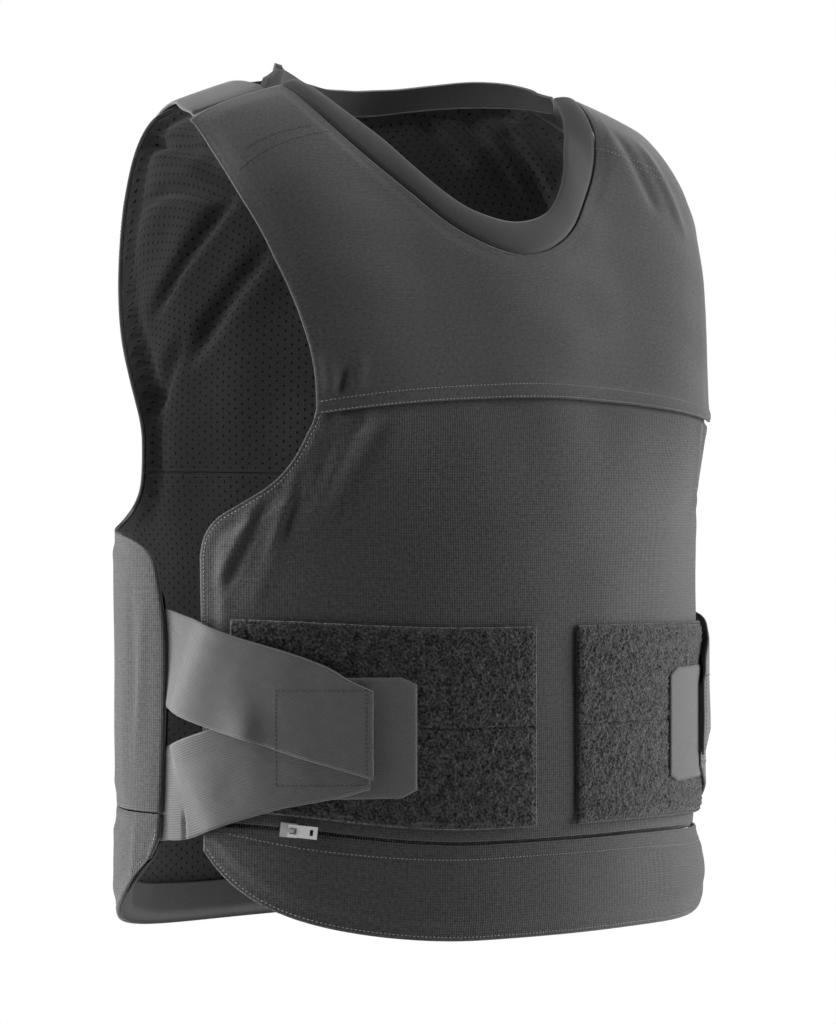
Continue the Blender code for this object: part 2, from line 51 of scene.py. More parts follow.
# %% [markdown]
# ## Camera, light and floor
#
# The picture was taken from the wearer's right front, level with the chest, from a little over two
# metres away. A long lens there keeps the vest's sides nearly parallel.
#
# The cloth is almost black, so its shape shows only by the light that rakes over it. Tall softboxes
# stand left and right of the vest, with next to no room light, and leave the side that faces the
# camera dark.

# %% Camera
MM = 0.001
CAMERA_TURN = np.radians(40.0)
CAMERA_DISTANCE = 2.2
CAMERA_HEIGHT = -0.218
CAMERA_ASIDE = 0.0039
LENS = 138.1


def show(name, data):
    """An object in the scene for a camera, a light or a mesh."""
    shown = bpy.data.objects.new(name, data)
    bpy.context.scene.collection.objects.link(shown)
    return shown


image_right = Vector((np.cos(CAMERA_TURN), -np.sin(CAMERA_TURN), 0.0))
towards_camera = Vector((-np.sin(CAMERA_TURN), -np.cos(CAMERA_TURN), 0.0))
camera_data = bpy.data.cameras.new("photo_camera")
camera_data.lens = LENS
camera_data.sensor_width = 36.0
camera_data.clip_end = 50.0
camera = show("photo_camera", camera_data)
camera.location = towards_camera * CAMERA_DISTANCE + image_right * CAMERA_ASIDE
camera.location.z = CAMERA_HEIGHT
camera.rotation_euler = (-towards_camera).to_track_quat("-Z", "Y").to_euler()
bpy.context.scene.camera = camera
print("camera at", [round(value, 3) for value in camera.location])

# %% Softboxes
# A row for each light: metres to the image's right, metres nearer the camera, height,
# width, length, and watts
SOFTBOXES = {
    "softbox_right": (1.6, 0, 0, 0.8, 1.8, 20),
    "softbox_right_rear": (1.4, -0.8, 0, 0.8, 1.8, 28),
    "softbox_left": (-1.6, 0, 0, 0.8, 1.8, 43),
    "softbox_left_front": (-1.4, 0.8, 0, 0.8, 1.8, 18),
    "softbox_top": (-0.9, 0.3, 1.4, 0.9, 0.9, 15),
    "softbox_back": (0.2, -1.9, 0.4, 1.6, 1.6, 12),
}
LIGHT_AIM = Vector((0.0, 0.0, -0.2))


def softbox(name, right, near, height, width, length, watts):
    light = bpy.data.lights.new(name, "AREA")
    light.shape = "RECTANGLE"
    light.size = width
    light.size_y = length
    light.energy = watts
    lamp = show(name, light)
    lamp.location = image_right * right + towards_camera * near
    lamp.location.z = height
    lamp.rotation_euler = (LIGHT_AIM - lamp.location).to_track_quat("-Z", "Y").to_euler()


for name, row in SOFTBOXES.items():
    softbox(name, *row)
print("softboxes:", len(SOFTBOXES))

# %% Backdrop and floor
ROOM_LIGHT = 0.028
FLOOR_HEIGHT = -1.35
FLOOR_RADIUS = 3.0

world = bpy.data.worlds.new("white_studio")
bpy.context.scene.world = world
world.use_nodes = True
sky = world.node_tree
backdrop = sky.nodes["Background"]
backdrop.inputs["Color"].default_value = (1.0, 1.0, 1.0, 1.0)
seen = sky.nodes.new("ShaderNodeLightPath")
level = sky.nodes.new("ShaderNodeMapRange")
level.inputs["To Min"].default_value = ROOM_LIGHT
level.inputs["To Max"].default_value = 1.0
sky.links.new(seen.outputs["Is Camera Ray"], level.inputs["Value"])
sky.links.new(level.outputs["Result"], backdrop.inputs["Strength"])

floor_shape = bmesh.new()
bmesh.ops.create_circle(floor_shape, cap_ends=True, segments=64, radius=FLOOR_RADIUS)
floor_mesh = bpy.data.meshes.new("studio_floor")
floor_shape.to_mesh(floor_mesh)
floor_shape.free()
floor = show("studio_floor", floor_mesh)
floor.location.z = FLOOR_HEIGHT
floor_paint = bpy.data.materials.new("pale floor")
floor_paint.use_nodes = True
floor_shader = floor_paint.node_tree.nodes["Principled BSDF"]
floor_shader.inputs["Base Color"].default_value = (0.85, 0.85, 0.85, 1.0)
floor_shader.inputs["Roughness"].default_value = 0.9
floor_mesh.materials.append(floor_paint)
bpy.context.scene.view_settings.view_transform = "Standard"
print("floor", FLOOR_HEIGHT, "m under the shoulders")

# %% [markdown]
# ## The body inside
#
# The vest has to stand as if it were worn. All of its pieces follow one body form, the same one that
# the solids were made on. A place on it is a turn round the body in degrees and a rise up the cloth
# in mm, so a seam or a stitch row can be given in the same two numbers a tailor would use.
#
# Whole arrays go through these functions at once, because a finely woven panel has many corners.

# %% The body form
HALF_WIDTH = 188.0
FRONT_DEPTHS = (121.0, 118.0)
BACK_DEPTHS = (110.0, 118.0)
FRONT_FULLNESS = 1.6
SIDE_FULLNESS = 2.2
BACK_FULLNESS = 3.0
SIDE_TURNS = (20.0, 56.0)
CHEST_BREADTH = 0.077
CHEST_DEPTH = 0.13
CHEST_RISE = 267.0
CHEST_TURNS = (10.0, 50.0)
CHEST_START = (215.0, 290.0)
CHEST_END = (430.0, 492.0)
RIDGE_RISE = 502.0
RIDGE_HEIGHT = 463.0
RIDGE_NECK_X = 105.0
RIDGE_SLOPE = 0.36
BACK_NECK_SLOPE = 0.17
RIDGE_ROUNDING = 60.0
WAIST_BLEND = 100.0
ORIGIN_HEIGHT = 445.0


def smooth(value):
    """0 below 0, 1 above 1, and an even S between."""
    value = np.clip(value, 0.0, 1.0)
    return value * value * (3.0 - 2.0 * value)


def share(value, start, end):
    """How far a value has gone from start to end, as an even S."""
    return smooth((value - start) / (end - start))


def chest_stand_off(turn, rise):
    """0 where the front follows the body, 1 where its stiff chest stands off most."""
    beside = share(np.abs(turn), *CHEST_TURNS)
    return beside * share(rise, *CHEST_START) * (1.0 - share(rise, *CHEST_END))


def ridge_height(x, front):
    """The shoulder line; behind, the cloth crosses the neck lower than the body's own slope."""
    run = np.hypot(x, RIDGE_ROUNDING) - np.hypot(RIDGE_NECK_X, RIDGE_ROUNDING)
    return RIDGE_HEIGHT - np.where((run < 0.0) & ~front, BACK_NECK_SLOPE, RIDGE_SLOPE) * run


def body_form(turn, rise):
    """Points of the body in mm, with heights counted from the front hem."""
    angle = np.radians(turn)
    facing = np.cos(angle)
    front = facing >= 0.0
    stand_off = np.where(front, chest_stand_off(turn, rise), 0.0)
    x = HALF_WIDTH * np.sin(angle) * (1.0 + CHEST_BREADTH * stand_off)
    deeper = 1.0 + CHEST_DEPTH * stand_off
    waist = deeper * np.where(front, FRONT_DEPTHS[0], BACK_DEPTHS[0])
    chest = deeper * np.where(front, FRONT_DEPTHS[1], BACK_DEPTHS[1])
    depth = chest + (waist - chest) * smooth((CHEST_RISE - rise) / WAIST_BLEND)
    lean = np.radians(np.clip(90.0 * (rise - CHEST_RISE) / (RIDGE_RISE - CHEST_RISE), 0.0, 90.0))
    beside = share(np.abs(turn), *SIDE_TURNS)
    side_fullness = FRONT_FULLNESS + (SIDE_FULLNESS - FRONT_FULLNESS) * beside
    power = np.where(front, side_fullness, BACK_FULLNESS)
    across = (np.maximum(np.cos(lean), 1e-9) / np.maximum(np.abs(chest * facing), 1.0)) ** power
    upward = (np.maximum(np.sin(lean), 1e-9) / (ridge_height(x, front) - CHEST_RISE)) ** power
    reach = (across + upward) ** (-1.0 / power)
    low = rise < CHEST_RISE
    y = np.where(low, -depth * facing, np.where(front, -reach, reach) * np.cos(lean))
    z = np.where(low, rise, CHEST_RISE + reach * np.sin(lean))
    return np.stack([x, y, z], axis=-1)


print("front of the chest at y =", round(float(body_form(np.array(0.0), np.array(CHEST_RISE))[1]), 1), "mm")

# %% Off the form
# On the wearer's right the straps draw the lower front up a little, and on the left it hangs
PULL_RIGHT = 12.0
PULL_LEFT = -3.0
PULL_TURNS = (15.0, 65.0)
PULL_RISES = (260.0, 50.0)
FORM_STEP = 0.4


def pull(turn, rise):
    amount = np.where(turn < 0.0, PULL_RIGHT, PULL_LEFT)
    return amount * share(np.abs(turn), *PULL_TURNS) * share(rise, *PULL_RISES)


def outward(turn, rise):
    """The direction that points away from the body."""
    around = body_form(turn + FORM_STEP, rise) - body_form(turn - FORM_STEP, rise)
    upward = body_form(turn, rise + FORM_STEP) - body_form(turn, rise - FORM_STEP)
    direction = np.cross(around, upward)
    return direction / np.linalg.norm(direction, axis=-1, keepdims=True)


def on_form(turn, rise, height=0.0, pulled=False):
    """Points in metres, height mm off the form."""
    turn, rise = np.broadcast_arrays(np.asarray(turn, float), np.asarray(rise, float))
    lift = np.broadcast_to(np.asarray(height, float), turn.shape)[..., None]
    points = body_form(turn, rise) + outward(turn, rise) * lift
    if pulled:
        points[..., 2] += pull(turn, rise)
    points[..., 2] -= ORIGIN_HEIGHT
    return points * MM


# %% Lengths of cloth
# Cloth is cut by length, so turns and rises are also read as mm along the form
RING_RISE = 150.0


def length_to(points):
    """The length of a line up to each of its points."""
    return np.concatenate([[0.0], np.cumsum(np.linalg.norm(np.diff(points, axis=0), axis=1))])


TURNS = np.linspace(0.0, 180.0, 361)
ARCS = length_to(body_form(TURNS, np.full(TURNS.shape, RING_RISE)))
RISES = np.linspace(-30.0, RIDGE_RISE, 533)
CLIMBS = length_to(body_form(np.full(RISES.shape, 180.0), RISES))
CLIMBS -= np.interp(0.0, RISES, CLIMBS)


def arc(turn):
    """mm round the form from the middle of the front; negative on the wearer's right."""
    return np.sign(turn) * np.interp(np.abs(turn), TURNS, ARCS)


def back_arc(turn):
    """mm round the form from the middle of the back."""
    return np.sign(turn) * (ARCS[-1] - np.interp(np.abs(turn), TURNS, ARCS))


def turn_of_arc(length):
    return np.sign(length) * np.interp(np.abs(length), ARCS, TURNS)


def turn_of_back_arc(length):
    side = np.where(length < 0.0, -1.0, 1.0)
    return side * np.interp(ARCS[-1] - np.abs(length), ARCS, TURNS)


def climb(rise):
    """mm up the middle of the back from the height of the front hem."""
    return np.interp(rise, RISES, CLIMBS)


def rise_of_climb(length):
    return np.interp(length, CLIMBS, RISES)


print("round the chest:", round(2.0 * ARCS[-1]), "mm")

# %% Tables into curves


def through(table, place):
    """Values between the rows of a table, as smooth curves; place runs from 0 to 1."""
    rows = np.array(table, float)
    last = len(rows) - 1
    along = np.asarray(place, float) * last
    index = np.clip(along.astype(int), 0, last - 1)
    part = (along - index)[..., None]
    start, end = rows[index], rows[index + 1]
    slope_start = (end - rows[np.maximum(index - 1, 0)]) / 2.0
    slope_end = (rows[np.minimum(index + 2, last)] - start) / 2.0
    square, cube = part**2, part**3
    values = (2 * cube - 3 * square + 1) * start + (cube - 2 * square + part) * slope_start
    values = values + (3 * square - 2 * cube) * end + (cube - square) * slope_end
    return np.moveaxis(values, -1, 0)


def from_middle(table, place):
    """Like through, for a curve that crosses the body's middle squarely."""
    rows = np.array(table, float)
    other_side = rows[2:0:-1] * np.array([-1.0, 1.0])
    along = (2.0 + place * (len(rows) - 1)) / (len(rows) + 1)
    return through(np.concatenate([other_side, rows]), along)


# %% Folds and unevenness
WAVES = 7


def hump(value, middle, width):
    """1 at the middle, and an even fall on both sides."""
    return np.exp(-(((value - middle) / width) ** 2))


def folds(x, y, table):
    """Heights of soft folds. A row is x and y of both ends, half width and height, all in mm."""
    total = np.zeros(np.shape(x))
    for start_x, start_y, end_x, end_y, width, height in table:
        run_x, run_y = end_x - start_x, end_y - start_y
        length = np.hypot(run_x, run_y)
        along = ((x - start_x) * run_x + (y - start_y) * run_y) / length**2
        beside = ((x - start_x) * run_y - (y - start_y) * run_x) / length
        ends = smooth((along + 0.2) / 0.4) * smooth((1.2 - along) / 0.4)
        total += height * hump(beside, 0.0, width) * ends
    return total


def unevenness(x, y, size, seed):
    """A gentle wander between -1 and 1, for cloth that never lies quite flat."""
    chance = np.random.default_rng(seed)
    total = np.zeros(np.shape(x))
    for _ in range(WAVES):
        heading = chance.uniform(0.0, np.pi)
        wave = size * chance.uniform(0.7, 1.8)
        shift = chance.uniform(0.0, 2.0 * np.pi)
        total += np.sin(2.0 * np.pi * (x * np.cos(heading) + y * np.sin(heading)) / wave + shift)
    return total / WAVES * 1.6


def softness(x, y, edge, amount, size, seed, calm=14.0):
    """Unevenness in mm that dies away within calm mm of the edge."""
    return amount * smooth(edge / calm) * unevenness(x, y, size, seed)


# %% [markdown]
# ## From a flat cut to a worn piece
#
# Every cloth piece starts as a flat grid, the way it would be cut. A place function lays its corners
# on the form, a lift function raises its padding and folds, and a Solidify modifier gives it a wall.
# The lift function is told how far each corner is from the piece's own edge, because hems, margins
# and topstitching follow the edge.
#
# The flat lengths are kept as a UV map in metres, so that a weave keeps its real thread size.

# %% Flat cuts
NECK_SPLIT = 0.01


def flat_grid(columns, rows):
    """A flat cut whose corners run from 0 to 1 across and up."""
    cut = bmesh.new()
    bmesh.ops.create_grid(cut, x_segments=columns, y_segments=rows, size=0.5)
    bmesh.ops.translate(cut, vec=(0.5, 0.5, 0.0), verts=cut.verts)
    return cut


def mirrored_grid(columns, rows, split_above=2.0):
    """Two halves that meet at across 0, apart from the rows above a neckline."""
    cut = flat_grid(columns, rows)
    above = [corner for corner in cut.verts if corner.co.y > split_above]
    bmesh.ops.translate(cut, vec=(NECK_SPLIT, 0.0, 0.0), verts=above)
    whole = cut.verts[:] + cut.edges[:] + cut.faces[:]
    bmesh.ops.mirror(cut, geom=whole, axis="X", merge_dist=1e-5)
    bmesh.ops.recalc_face_normals(cut, faces=cut.faces)
    return cut


def halves(across, up, split_above=2.0):
    """Side, -1 or 1, and how far across that half."""
    side = np.where(across < 0.0, -1.0, 1.0)
    return side, np.maximum(np.abs(across) - np.where(up > split_above, NECK_SPLIT, 0.0), 0.0)


# %% Laying a cut on the form


def edge_distance(points, rim):
    """mm from each point to the nearest point of the rim."""
    tree = KDTree(len(rim))
    for index in rim:
        tree.insert(points[index], int(index))
    tree.balance()
    return np.array([tree.find(point)[2] for point in points]) / MM


def even(amount):
    """A lift or a wall that is the same all over."""
    return lambda turn, rise, edge: np.full(edge.shape, amount)


def rolled(edge, depth, width):
    """How far a cut edge rolls under, in mm."""
    return -depth * (1.0 - smooth(edge / width))


def lay(name, cut, place, lift, wall, free_edge=None, pulled=False):
    """A closed cloth piece. place gives turn, rise, height and two flat lengths, in degrees and mm.
    lift and wall take turn, rise and the distance to the edge, and give mm."""
    rim = [corner.index for corner in cut.verts if corner.is_boundary]
    mesh = bpy.data.meshes.new(name)
    cut.to_mesh(mesh)
    cut.free()
    flat = np.empty(len(mesh.vertices) * 3)
    mesh.vertices.foreach_get("co", flat)
    across, up = flat.reshape(-1, 3)[:, 0], flat.reshape(-1, 3)[:, 1]
    turn, rise, height, flat_x, flat_y = place(across, up)
    if free_edge:
        rim = [index for index in rim if free_edge(across[index], up[index])]
    edge = edge_distance(on_form(turn, rise, height, pulled), rim)
    top = on_form(turn, rise, height + lift(turn, rise, edge), pulled)
    mesh.vertices.foreach_set("co", top.ravel())
    corners = np.empty(len(mesh.loops), np.int32)
    mesh.loops.foreach_get("vertex_index", corners)
    cut_map = mesh.uv_layers.new(name="cut")
    lengths = np.stack(np.broadcast_arrays(flat_x, flat_y), axis=-1) * MM
    cut_map.uv.foreach_set("vector", lengths[corners].ravel())
    mesh.update()
    first = mesh.polygons[len(mesh.polygons) // 2]
    corner = first.vertices[0]
    if Vector(outward(turn[corner], rise[corner])).dot(first.normal) < 0.0:
        mesh.flip_normals()
    mesh.shade_smooth()
    piece = show(name, mesh)
    if wall:
        walls = wall(turn, rise, edge)
        thickest = float(walls.max())
        group = piece.vertex_groups.new(name="wall")
        for index, fullness in enumerate(walls / thickest):
            group.add([index], float(fullness), "REPLACE")
        solid = piece.modifiers.new("wall", "SOLIDIFY")
        solid.thickness = thickest * MM
        solid.offset = -1.0
        solid.vertex_group = "wall"
    print(f"{name}: {len(mesh.polygons)} faces")
    return piece


def dress(piece, material, slot, *nodes, body="vest", inside=None, rim=0):
    """Gives a piece its finish and its body, and hides the solids that it stands for."""
    piece.data.materials.append(material)
    if inside:
        piece.data.materials.append(inside)
        piece.modifiers["wall"].material_offset = 1
        piece.modifiers["wall"].material_offset_rim = rim
    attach(piece, body)
    if nodes:
        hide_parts(*nodes)
    return piece


# %% [markdown]
# ## Finishes
#
# Seen close, the charcoal cloth is a fine square weave, the straps have ribs along their length, the
# hook tabs have a herringbone and the loop patches are a mottled fuzz. None of that is worth
# modelling thread by thread, so each is a small node tree that draws the threads from the flat
# lengths and raises them with a bump.

# %% Node helpers
BLUER = 1.02


def new_finish(name, colour, roughness, sheen=0.0, metallic=0.0):
    material = bpy.data.materials.new(name)
    material.use_nodes = True
    values = {
        "Base Color": (*colour, 1.0), "Roughness": roughness, "Metallic": metallic,
        "Sheen Weight": sheen, "Sheen Roughness": 0.45, "Specular IOR Level": 0.25,
    }
    for setting, value in values.items():
        material.node_tree.nodes["Principled BSDF"].inputs[setting].default_value = value
    return material


def node(tree, kind, **settings):
    """A new node. A setting is a number, or another node's output that is linked in."""
    made = tree.nodes.new("ShaderNode" + kind)
    for name, value in settings.items():
        if isinstance(value, bpy.types.NodeSocket):
            tree.links.new(value, made.inputs[name])
        elif name in made.inputs:
            made.inputs[name].default_value = value
        else:
            setattr(made, name, value)
    return made


def calculate(operation, first, *others):
    """One sum on a node's output; the other terms are numbers or outputs too."""
    tree = first.id_data
    sum_node = node(tree, "Math", operation=operation)
    for slot, term in zip(sum_node.inputs, (first, *others)):
        if isinstance(term, float):
            slot.default_value = term
        else:
            tree.links.new(term, slot)
    return sum_node.outputs[0]


def scaled(value, factor, more):
    return calculate("MULTIPLY_ADD", value, factor, more)


def blend(first, second, part):
    """One pattern by its part and a second one by the rest."""
    return scaled(first, part, calculate("MULTIPLY", second, 1.0 - part))


def flat_lengths(material):
    """The two flat lengths of the cut in metres, and both as one place."""
    where = node(material.node_tree, "UVMap", uv_map="cut").outputs[0]
    parts = node(material.node_tree, "SeparateXYZ", Vector=where)
    return parts.outputs[0], parts.outputs[1], where


def stripes(length, pitch):
    """Rounded threads, 0 to 1, one for each pitch."""
    angle = calculate("MULTIPLY", length, 2.0 * np.pi / (pitch * MM))
    return scaled(calculate("SINE", angle), 0.5, 0.5)


def mottle(where, size, detail=2.0):
    """Soft patches of about size mm, 0 to 1."""
    noise = node(where.id_data, "TexNoise", Scale=1.0 / (size * MM), Detail=detail, Vector=where)
    return noise.outputs["Fac"]


def paint(material, pattern, dark, light, relief, depth):
    """Colours a finish between dark and light by a pattern, and raises it by relief."""
    tree = material.node_tree
    shader = tree.nodes["Principled BSDF"]
    ramp = node(tree, "ValToRGB", Fac=pattern)
    for stop, grey in zip(ramp.color_ramp.elements, (dark, light)):
        stop.color = (grey, grey, grey * BLUER, 1.0)
    bump = node(tree, "Bump", Strength=1.0, Distance=depth * MM, Height=relief)
    tree.links.new(ramp.outputs[0], shader.inputs["Base Color"])
    tree.links.new(bump.outputs[0], shader.inputs["Normal"])


# %% Woven charcoal cloth


def woven(name, dark, light, pitch, depth, sheen, rib=0.5, clear=0.5):
    """A square weave. rib is the part of the crossways threads, clear how plainly it shows."""
    material = new_finish(name, (dark, dark, dark), 0.85, sheen)
    x, y, where = flat_lengths(material)
    weave = blend(stripes(y, pitch), stripes(x, pitch), rib)
    worn = scaled(mottle(where, 2.0, 5.0), 2.0, -0.5)
    speck = scaled(mottle(where, 1.6, 1.0), 9.0, -6.9)
    lint = calculate("MAXIMUM", speck, 0.0)
    tone = scaled(worn, 1.0 - clear, scaled(weave, clear, lint))
    paint(material, tone, dark, light, weave, depth)
    return material


charcoal = woven("charcoal weave", 0.016, 0.092, 1.42, 0.22, 0.3, clear=0.38)
yoke_cloth = woven("charcoal yoke weave", 0.034, 0.090, 1.1, 0.06, 0.3, rib=0.7, clear=0.22)
band_cloth = woven("plain band cloth", 0.040, 0.058, 0.8, 0.06, 0.2)
facing_cloth = woven("plain facing cloth", 0.036, 0.064, 1.0, 0.12, 0.15)
lining_cloth = woven("lining mesh cloth", 0.006, 0.020, 0.9, 0.10, 0.2, clear=0.3)
# Painted shade: the inside of the back is near black, so the lining's holes read as dark as the shade inside
# the vest
shade_painted_inner_cloth = woven("cloth behind the lining painted black for shade", 0.0015, 0.003, 0.9, 0.05, 0.0)
print("woven finishes: 6")

# %% Ribbed elastic, hook tape and loop pile


def ribbed(name, dark, light, pitch):
    """Elastic with ribs along its length and a fine twill across them."""
    material = new_finish(name, (dark, dark, dark), 0.75, 0.3)
    x, y, where = flat_lengths(material)
    twill = stripes(scaled(x, 0.6, y), pitch * 0.62)
    threads = blend(twill, stripes(y, pitch), 0.35)
    tone = blend(mottle(where, 6.0), threads, 0.35)
    paint(material, tone, dark, light, threads, 0.25)
    return material


def herringbone(name, dark, light, pitch, column):
    """Twill that turns back on itself in upright columns."""
    material = new_finish(name, (dark, dark, dark), 0.7, 0.2)
    x, y, where = flat_lengths(material)
    zigzag = calculate("PINGPONG", x, column * MM)
    twill = stripes(calculate("ADD", y, zigzag), pitch)
    paint(material, blend(mottle(where, 1.2), twill, 0.4), dark, light, twill, 0.2)
    return material


def pile(name, dark, light):
    """Fuzz of small loops."""
    material = new_finish(name, (dark, dark, dark), 1.0, 0.35)
    where = flat_lengths(material)[2]
    loops = mottle(where, 1.5, 5.0)
    tufts = mottle(where, 6.0)
    both = scaled(tufts, 1.6, calculate("MULTIPLY", loops, 2.6))
    paint(material, calculate("SUBTRACT", both, 1.65), dark, light, loops, 1.3)
    return material


elastic = ribbed("ribbed elastic", 0.078, 0.165, 1.25)
hook_tape = herringbone("hook tape herringbone", 0.070, 0.150, 1.3, 2.4)
loop_pile = pile("loop pile", 0.006, 0.085)
print("tape finishes: 3")

# %% Thread, zip tape and metal


def brushed(name, colour, roughness, grain):
    """Cast metal with a slightly uneven face."""
    material = new_finish(name, colour, roughness, 0.0, 0.35)
    where = node(material.node_tree, "TexCoord").outputs["Object"]
    wear = mottle(where, grain, 3.0)
    shade = scaled(wear, 0.25, colour[0] * 0.85)
    paint(material, shade, colour[0] * 0.75, colour[0], wear, 0.03)
    return material


def thread(name, dark, light):
    material = new_finish(name, (light, light, light), 0.6, 0.2)
    where = node(material.node_tree, "TexCoord").outputs["Object"]
    paint(material, mottle(where, 2.0), dark, light, mottle(where, 0.4), 0.05)
    return material


dark_thread = thread("charcoal thread", 0.02, 0.05)
pale_thread = thread("grey thread", 0.16, 0.42)
zip_cloth = woven("zip tape cloth", 0.008, 0.016, 0.7, 0.1, 0.1)
coil_nylon = thread("zip coil nylon", 0.04, 0.20)
slider_metal = brushed("slider metal", (0.60, 0.60, 0.61), 0.35, 2.0)
pull_metal = brushed("pull tab metal", (0.92, 0.92, 0.93), 0.45, 3.0)
print("thread and metal finishes: 6")

# %% [markdown]
# ## Front panel
#
# The front is a thin cloth carrier with a soft armour insert inside. The insert stops short of the
# edge all round, which leaves a flat margin, then a low ridge where the insert begins. On the
# wearer's right the shoulder and the straps pull in two directions and raise long slanting folds.
#
# A plain inflated cushion would lose both the margin and the folds, so the panel's height is worked
# out from the distance to its edge, and the folds come from a short table.

# %% Where the front's edges run
ZIP_RISE = 51.5
ZIP_LIP = 0.9
SEAM_SIDE, SEAM_CENTRE = 284.1, 294.0
SEAM_TURN = 44.9
ARMHOLE_RISE = 200.0
LAP = 3.0

FRONT_SIDE = (
    # rise, turn
    (51.5, 70), (120, 70.5), (190, 71), (205, 70.8), (215, 69.4), (223, 66.3),
    (230, 61.2), (240, 54.5), (251.9, 49.9), (267.5, 46.6), (284.1, 44.9), (290, 44.7),
)
side_curve = through(FRONT_SIDE, np.linspace(0.0, 1.0, 400))


def side_turn(rise):
    return np.interp(rise, side_curve[0], side_curve[1])


def seam_arch(rise_side, across):
    """Rises on a row of the front; rows bow up to the chest seam's arch."""
    arch = (SEAM_CENTRE - SEAM_SIDE) * smooth((rise_side - ARMHOLE_RISE) / (SEAM_SIDE - ARMHOLE_RISE))
    return rise_side + arch * (1.0 - across**2)


print("chest seam rises", SEAM_CENTRE - SEAM_SIDE, "mm to the middle")

# %% Padding and folds of the front
PAD = 6.0
MARGIN = 7.0
MARGIN_SINK = 1.5
TWO_LAYERS = 1.7
STITCH_INSET = 2.2
LAP_SINK = 1.9


def fold_lines(table, along=arc, up=float):
    """Folds given by the turns and rises of their ends, as lengths of cloth in mm."""
    return [(along(a), up(b), along(c), up(d), width, height) for a, b, c, d, width, height in table]


# Long folds between the armhole and the wearer's right hip, and a few soft ones elsewhere
FRONT_FOLDS = fold_lines((
    # turn, rise, turn, rise, half width, height
    (-57.2, 232, -66, 190, 3.4, 1.9), (-55.6, 229, -64, 186, 2.6, -1.7), (-48, 250, -55, 206, 3.4, 1.8),
    (-47, 255, -51.6, 212, 2.8, -1.9), (-43.3, 282, -48.4, 243, 3.2, 1.5), (-36.3, 282, -46.8, 220, 4.2, 1.7),
    (-40.5, 276, -45, 246, 2.8, -1.4), (-33, 276, -42, 224, 5.5, -1.5), (-52, 214, -58.5, 176, 5, 0.9),
    (58, 268, 48, 225, 6, 0.9),
))


def padded_height(edge, margin=MARGIN, sink=MARGIN_SINK, ridge=0.4, stitched=STITCH_INSET):
    """Thin rolled edge, flat margin, a stitch line in it, then the ridge of the insert."""
    roll = -0.4 * (1.0 - np.sqrt(1.0 - (1.0 - np.clip(edge, 0.0, 1.0)) ** 2))
    step = sink * (smooth((edge - margin) / 7.0) - 1.0)
    groove = -0.3 * hump(edge, stitched, 0.6)
    return roll + step + groove + ridge * hump(edge, margin + 6.5, 4.0)


def padded_wall(turn, rise, edge):
    """Two layers of cloth at the margin and the whole pad inside it."""
    return TWO_LAYERS + (PAD - TWO_LAYERS) * smooth((edge - 5.0) / 6.0)


def place_front(across, up):
    side = 2.0 * across - 1.0
    bottom, top = ZIP_RISE + ZIP_LIP, SEAM_SIDE + LAP
    level = bottom + (top - bottom) * up
    turn, rise = side * side_turn(level), seam_arch(level, side)
    return turn, rise, 0.0, arc(turn), rise


def lift_front(turn, rise, edge):
    x = arc(turn)
    under_lap = -LAP_SINK * share(rise - seam_arch(SEAM_SIDE, turn / SEAM_TURN), -5.0, -1.0)
    relief = folds(x, rise, FRONT_FOLDS) * smooth(edge / 6.0)
    return padded_height(edge) + relief + softness(x, rise, edge, 0.45, 55.0, 3) + under_lap


def below_top(across, up):
    """The edges of a cut that lie free, apart from its top."""
    return up < 0.999


front = lay("vest_front", flat_grid(260, 130), place_front, lift_front, padded_wall, below_top, pulled=True)
dress(front, charcoal, "charcoal_cloth", "front_panel", inside=facing_cloth)

# %% [markdown]
# ## Hem panel
#
# Below the zip a low padded strip hangs free, with rounded lower corners. It is cut and laid like the
# front above it, and the two lips of cloth leave only a thin dark line for the zip.

# %% Hem panel
HEM_CORNER_RISE = 38.0
HEM_CORNER_POWER = 6.0
HEM_TURN = 70.0
FLARE_LEFT, FLARE_RIGHT = 5.5, 1.0


def hem_line(side):
    return HEM_CORNER_RISE * np.abs(side) ** HEM_CORNER_POWER


def place_hem(across, up):
    side = 2.0 * across - 1.0
    rise = hem_line(side) + (ZIP_RISE - ZIP_LIP - hem_line(side)) * up
    turn = side * HEM_TURN
    return turn, rise, 0.0, arc(turn), rise


def hem_flare(turn, rise):
    """The free hem stands off the body a little more on the wearer's left."""
    aside = FLARE_LEFT * share(turn, 20.0, 66.0) + FLARE_RIGHT * share(-turn, 30.0, 66.0)
    return share(rise, 62.0, 20.0) * aside


def lift_hem(turn, rise, edge):
    soft = softness(arc(turn), rise, edge, 0.4, 48.0, 8, calm=10.0)
    return padded_height(edge, 5.0, 1.0, 0.2) + soft + hem_flare(turn, rise)


hem = lay("vest_hem", flat_grid(260, 32), place_hem, lift_hem, padded_wall, pulled=True)
dress(hem, charcoal, "charcoal_cloth", "front_hem_panel", inside=facing_cloth)

# %% [markdown]
# ## Yoke
#
# The yoke covers the chest and both shoulders and laps over the front panel at the chest seam. Its
# lower edge therefore stands proud, and the two stitch rows press a flat band into it. Two mirrored
# halves meet under the neckline and part above it.

# %% Yoke
YOKE_ROWS = (
    # inner_turn, inner_rise, outer_turn, outer_rise
    (0, 294, 44.9, 284.1), (0, 325, 44.8, 311), (0, 358, 45.4, 336.2),
    (0, 387.5, 46.7, 359.8), (5, 390.5, 47.5, 370.5), (10.2, 398.5, 48.6, 383.1),
    (14.9, 409.6, 50.1, 398), (20.1, 426.7, 51.8, 415.5), (25.9, 445.8, 54.3, 435.1),
    (29.5, 459.9, 57.2, 454.3), (32, 473, 60.3, 470.8), (34, 489.3, 62.9, 486.2),
)
NECK_START = 3.0 / 11.0
NECK_SEAM = tuple(row[:2] for row in YOKE_ROWS[3:])

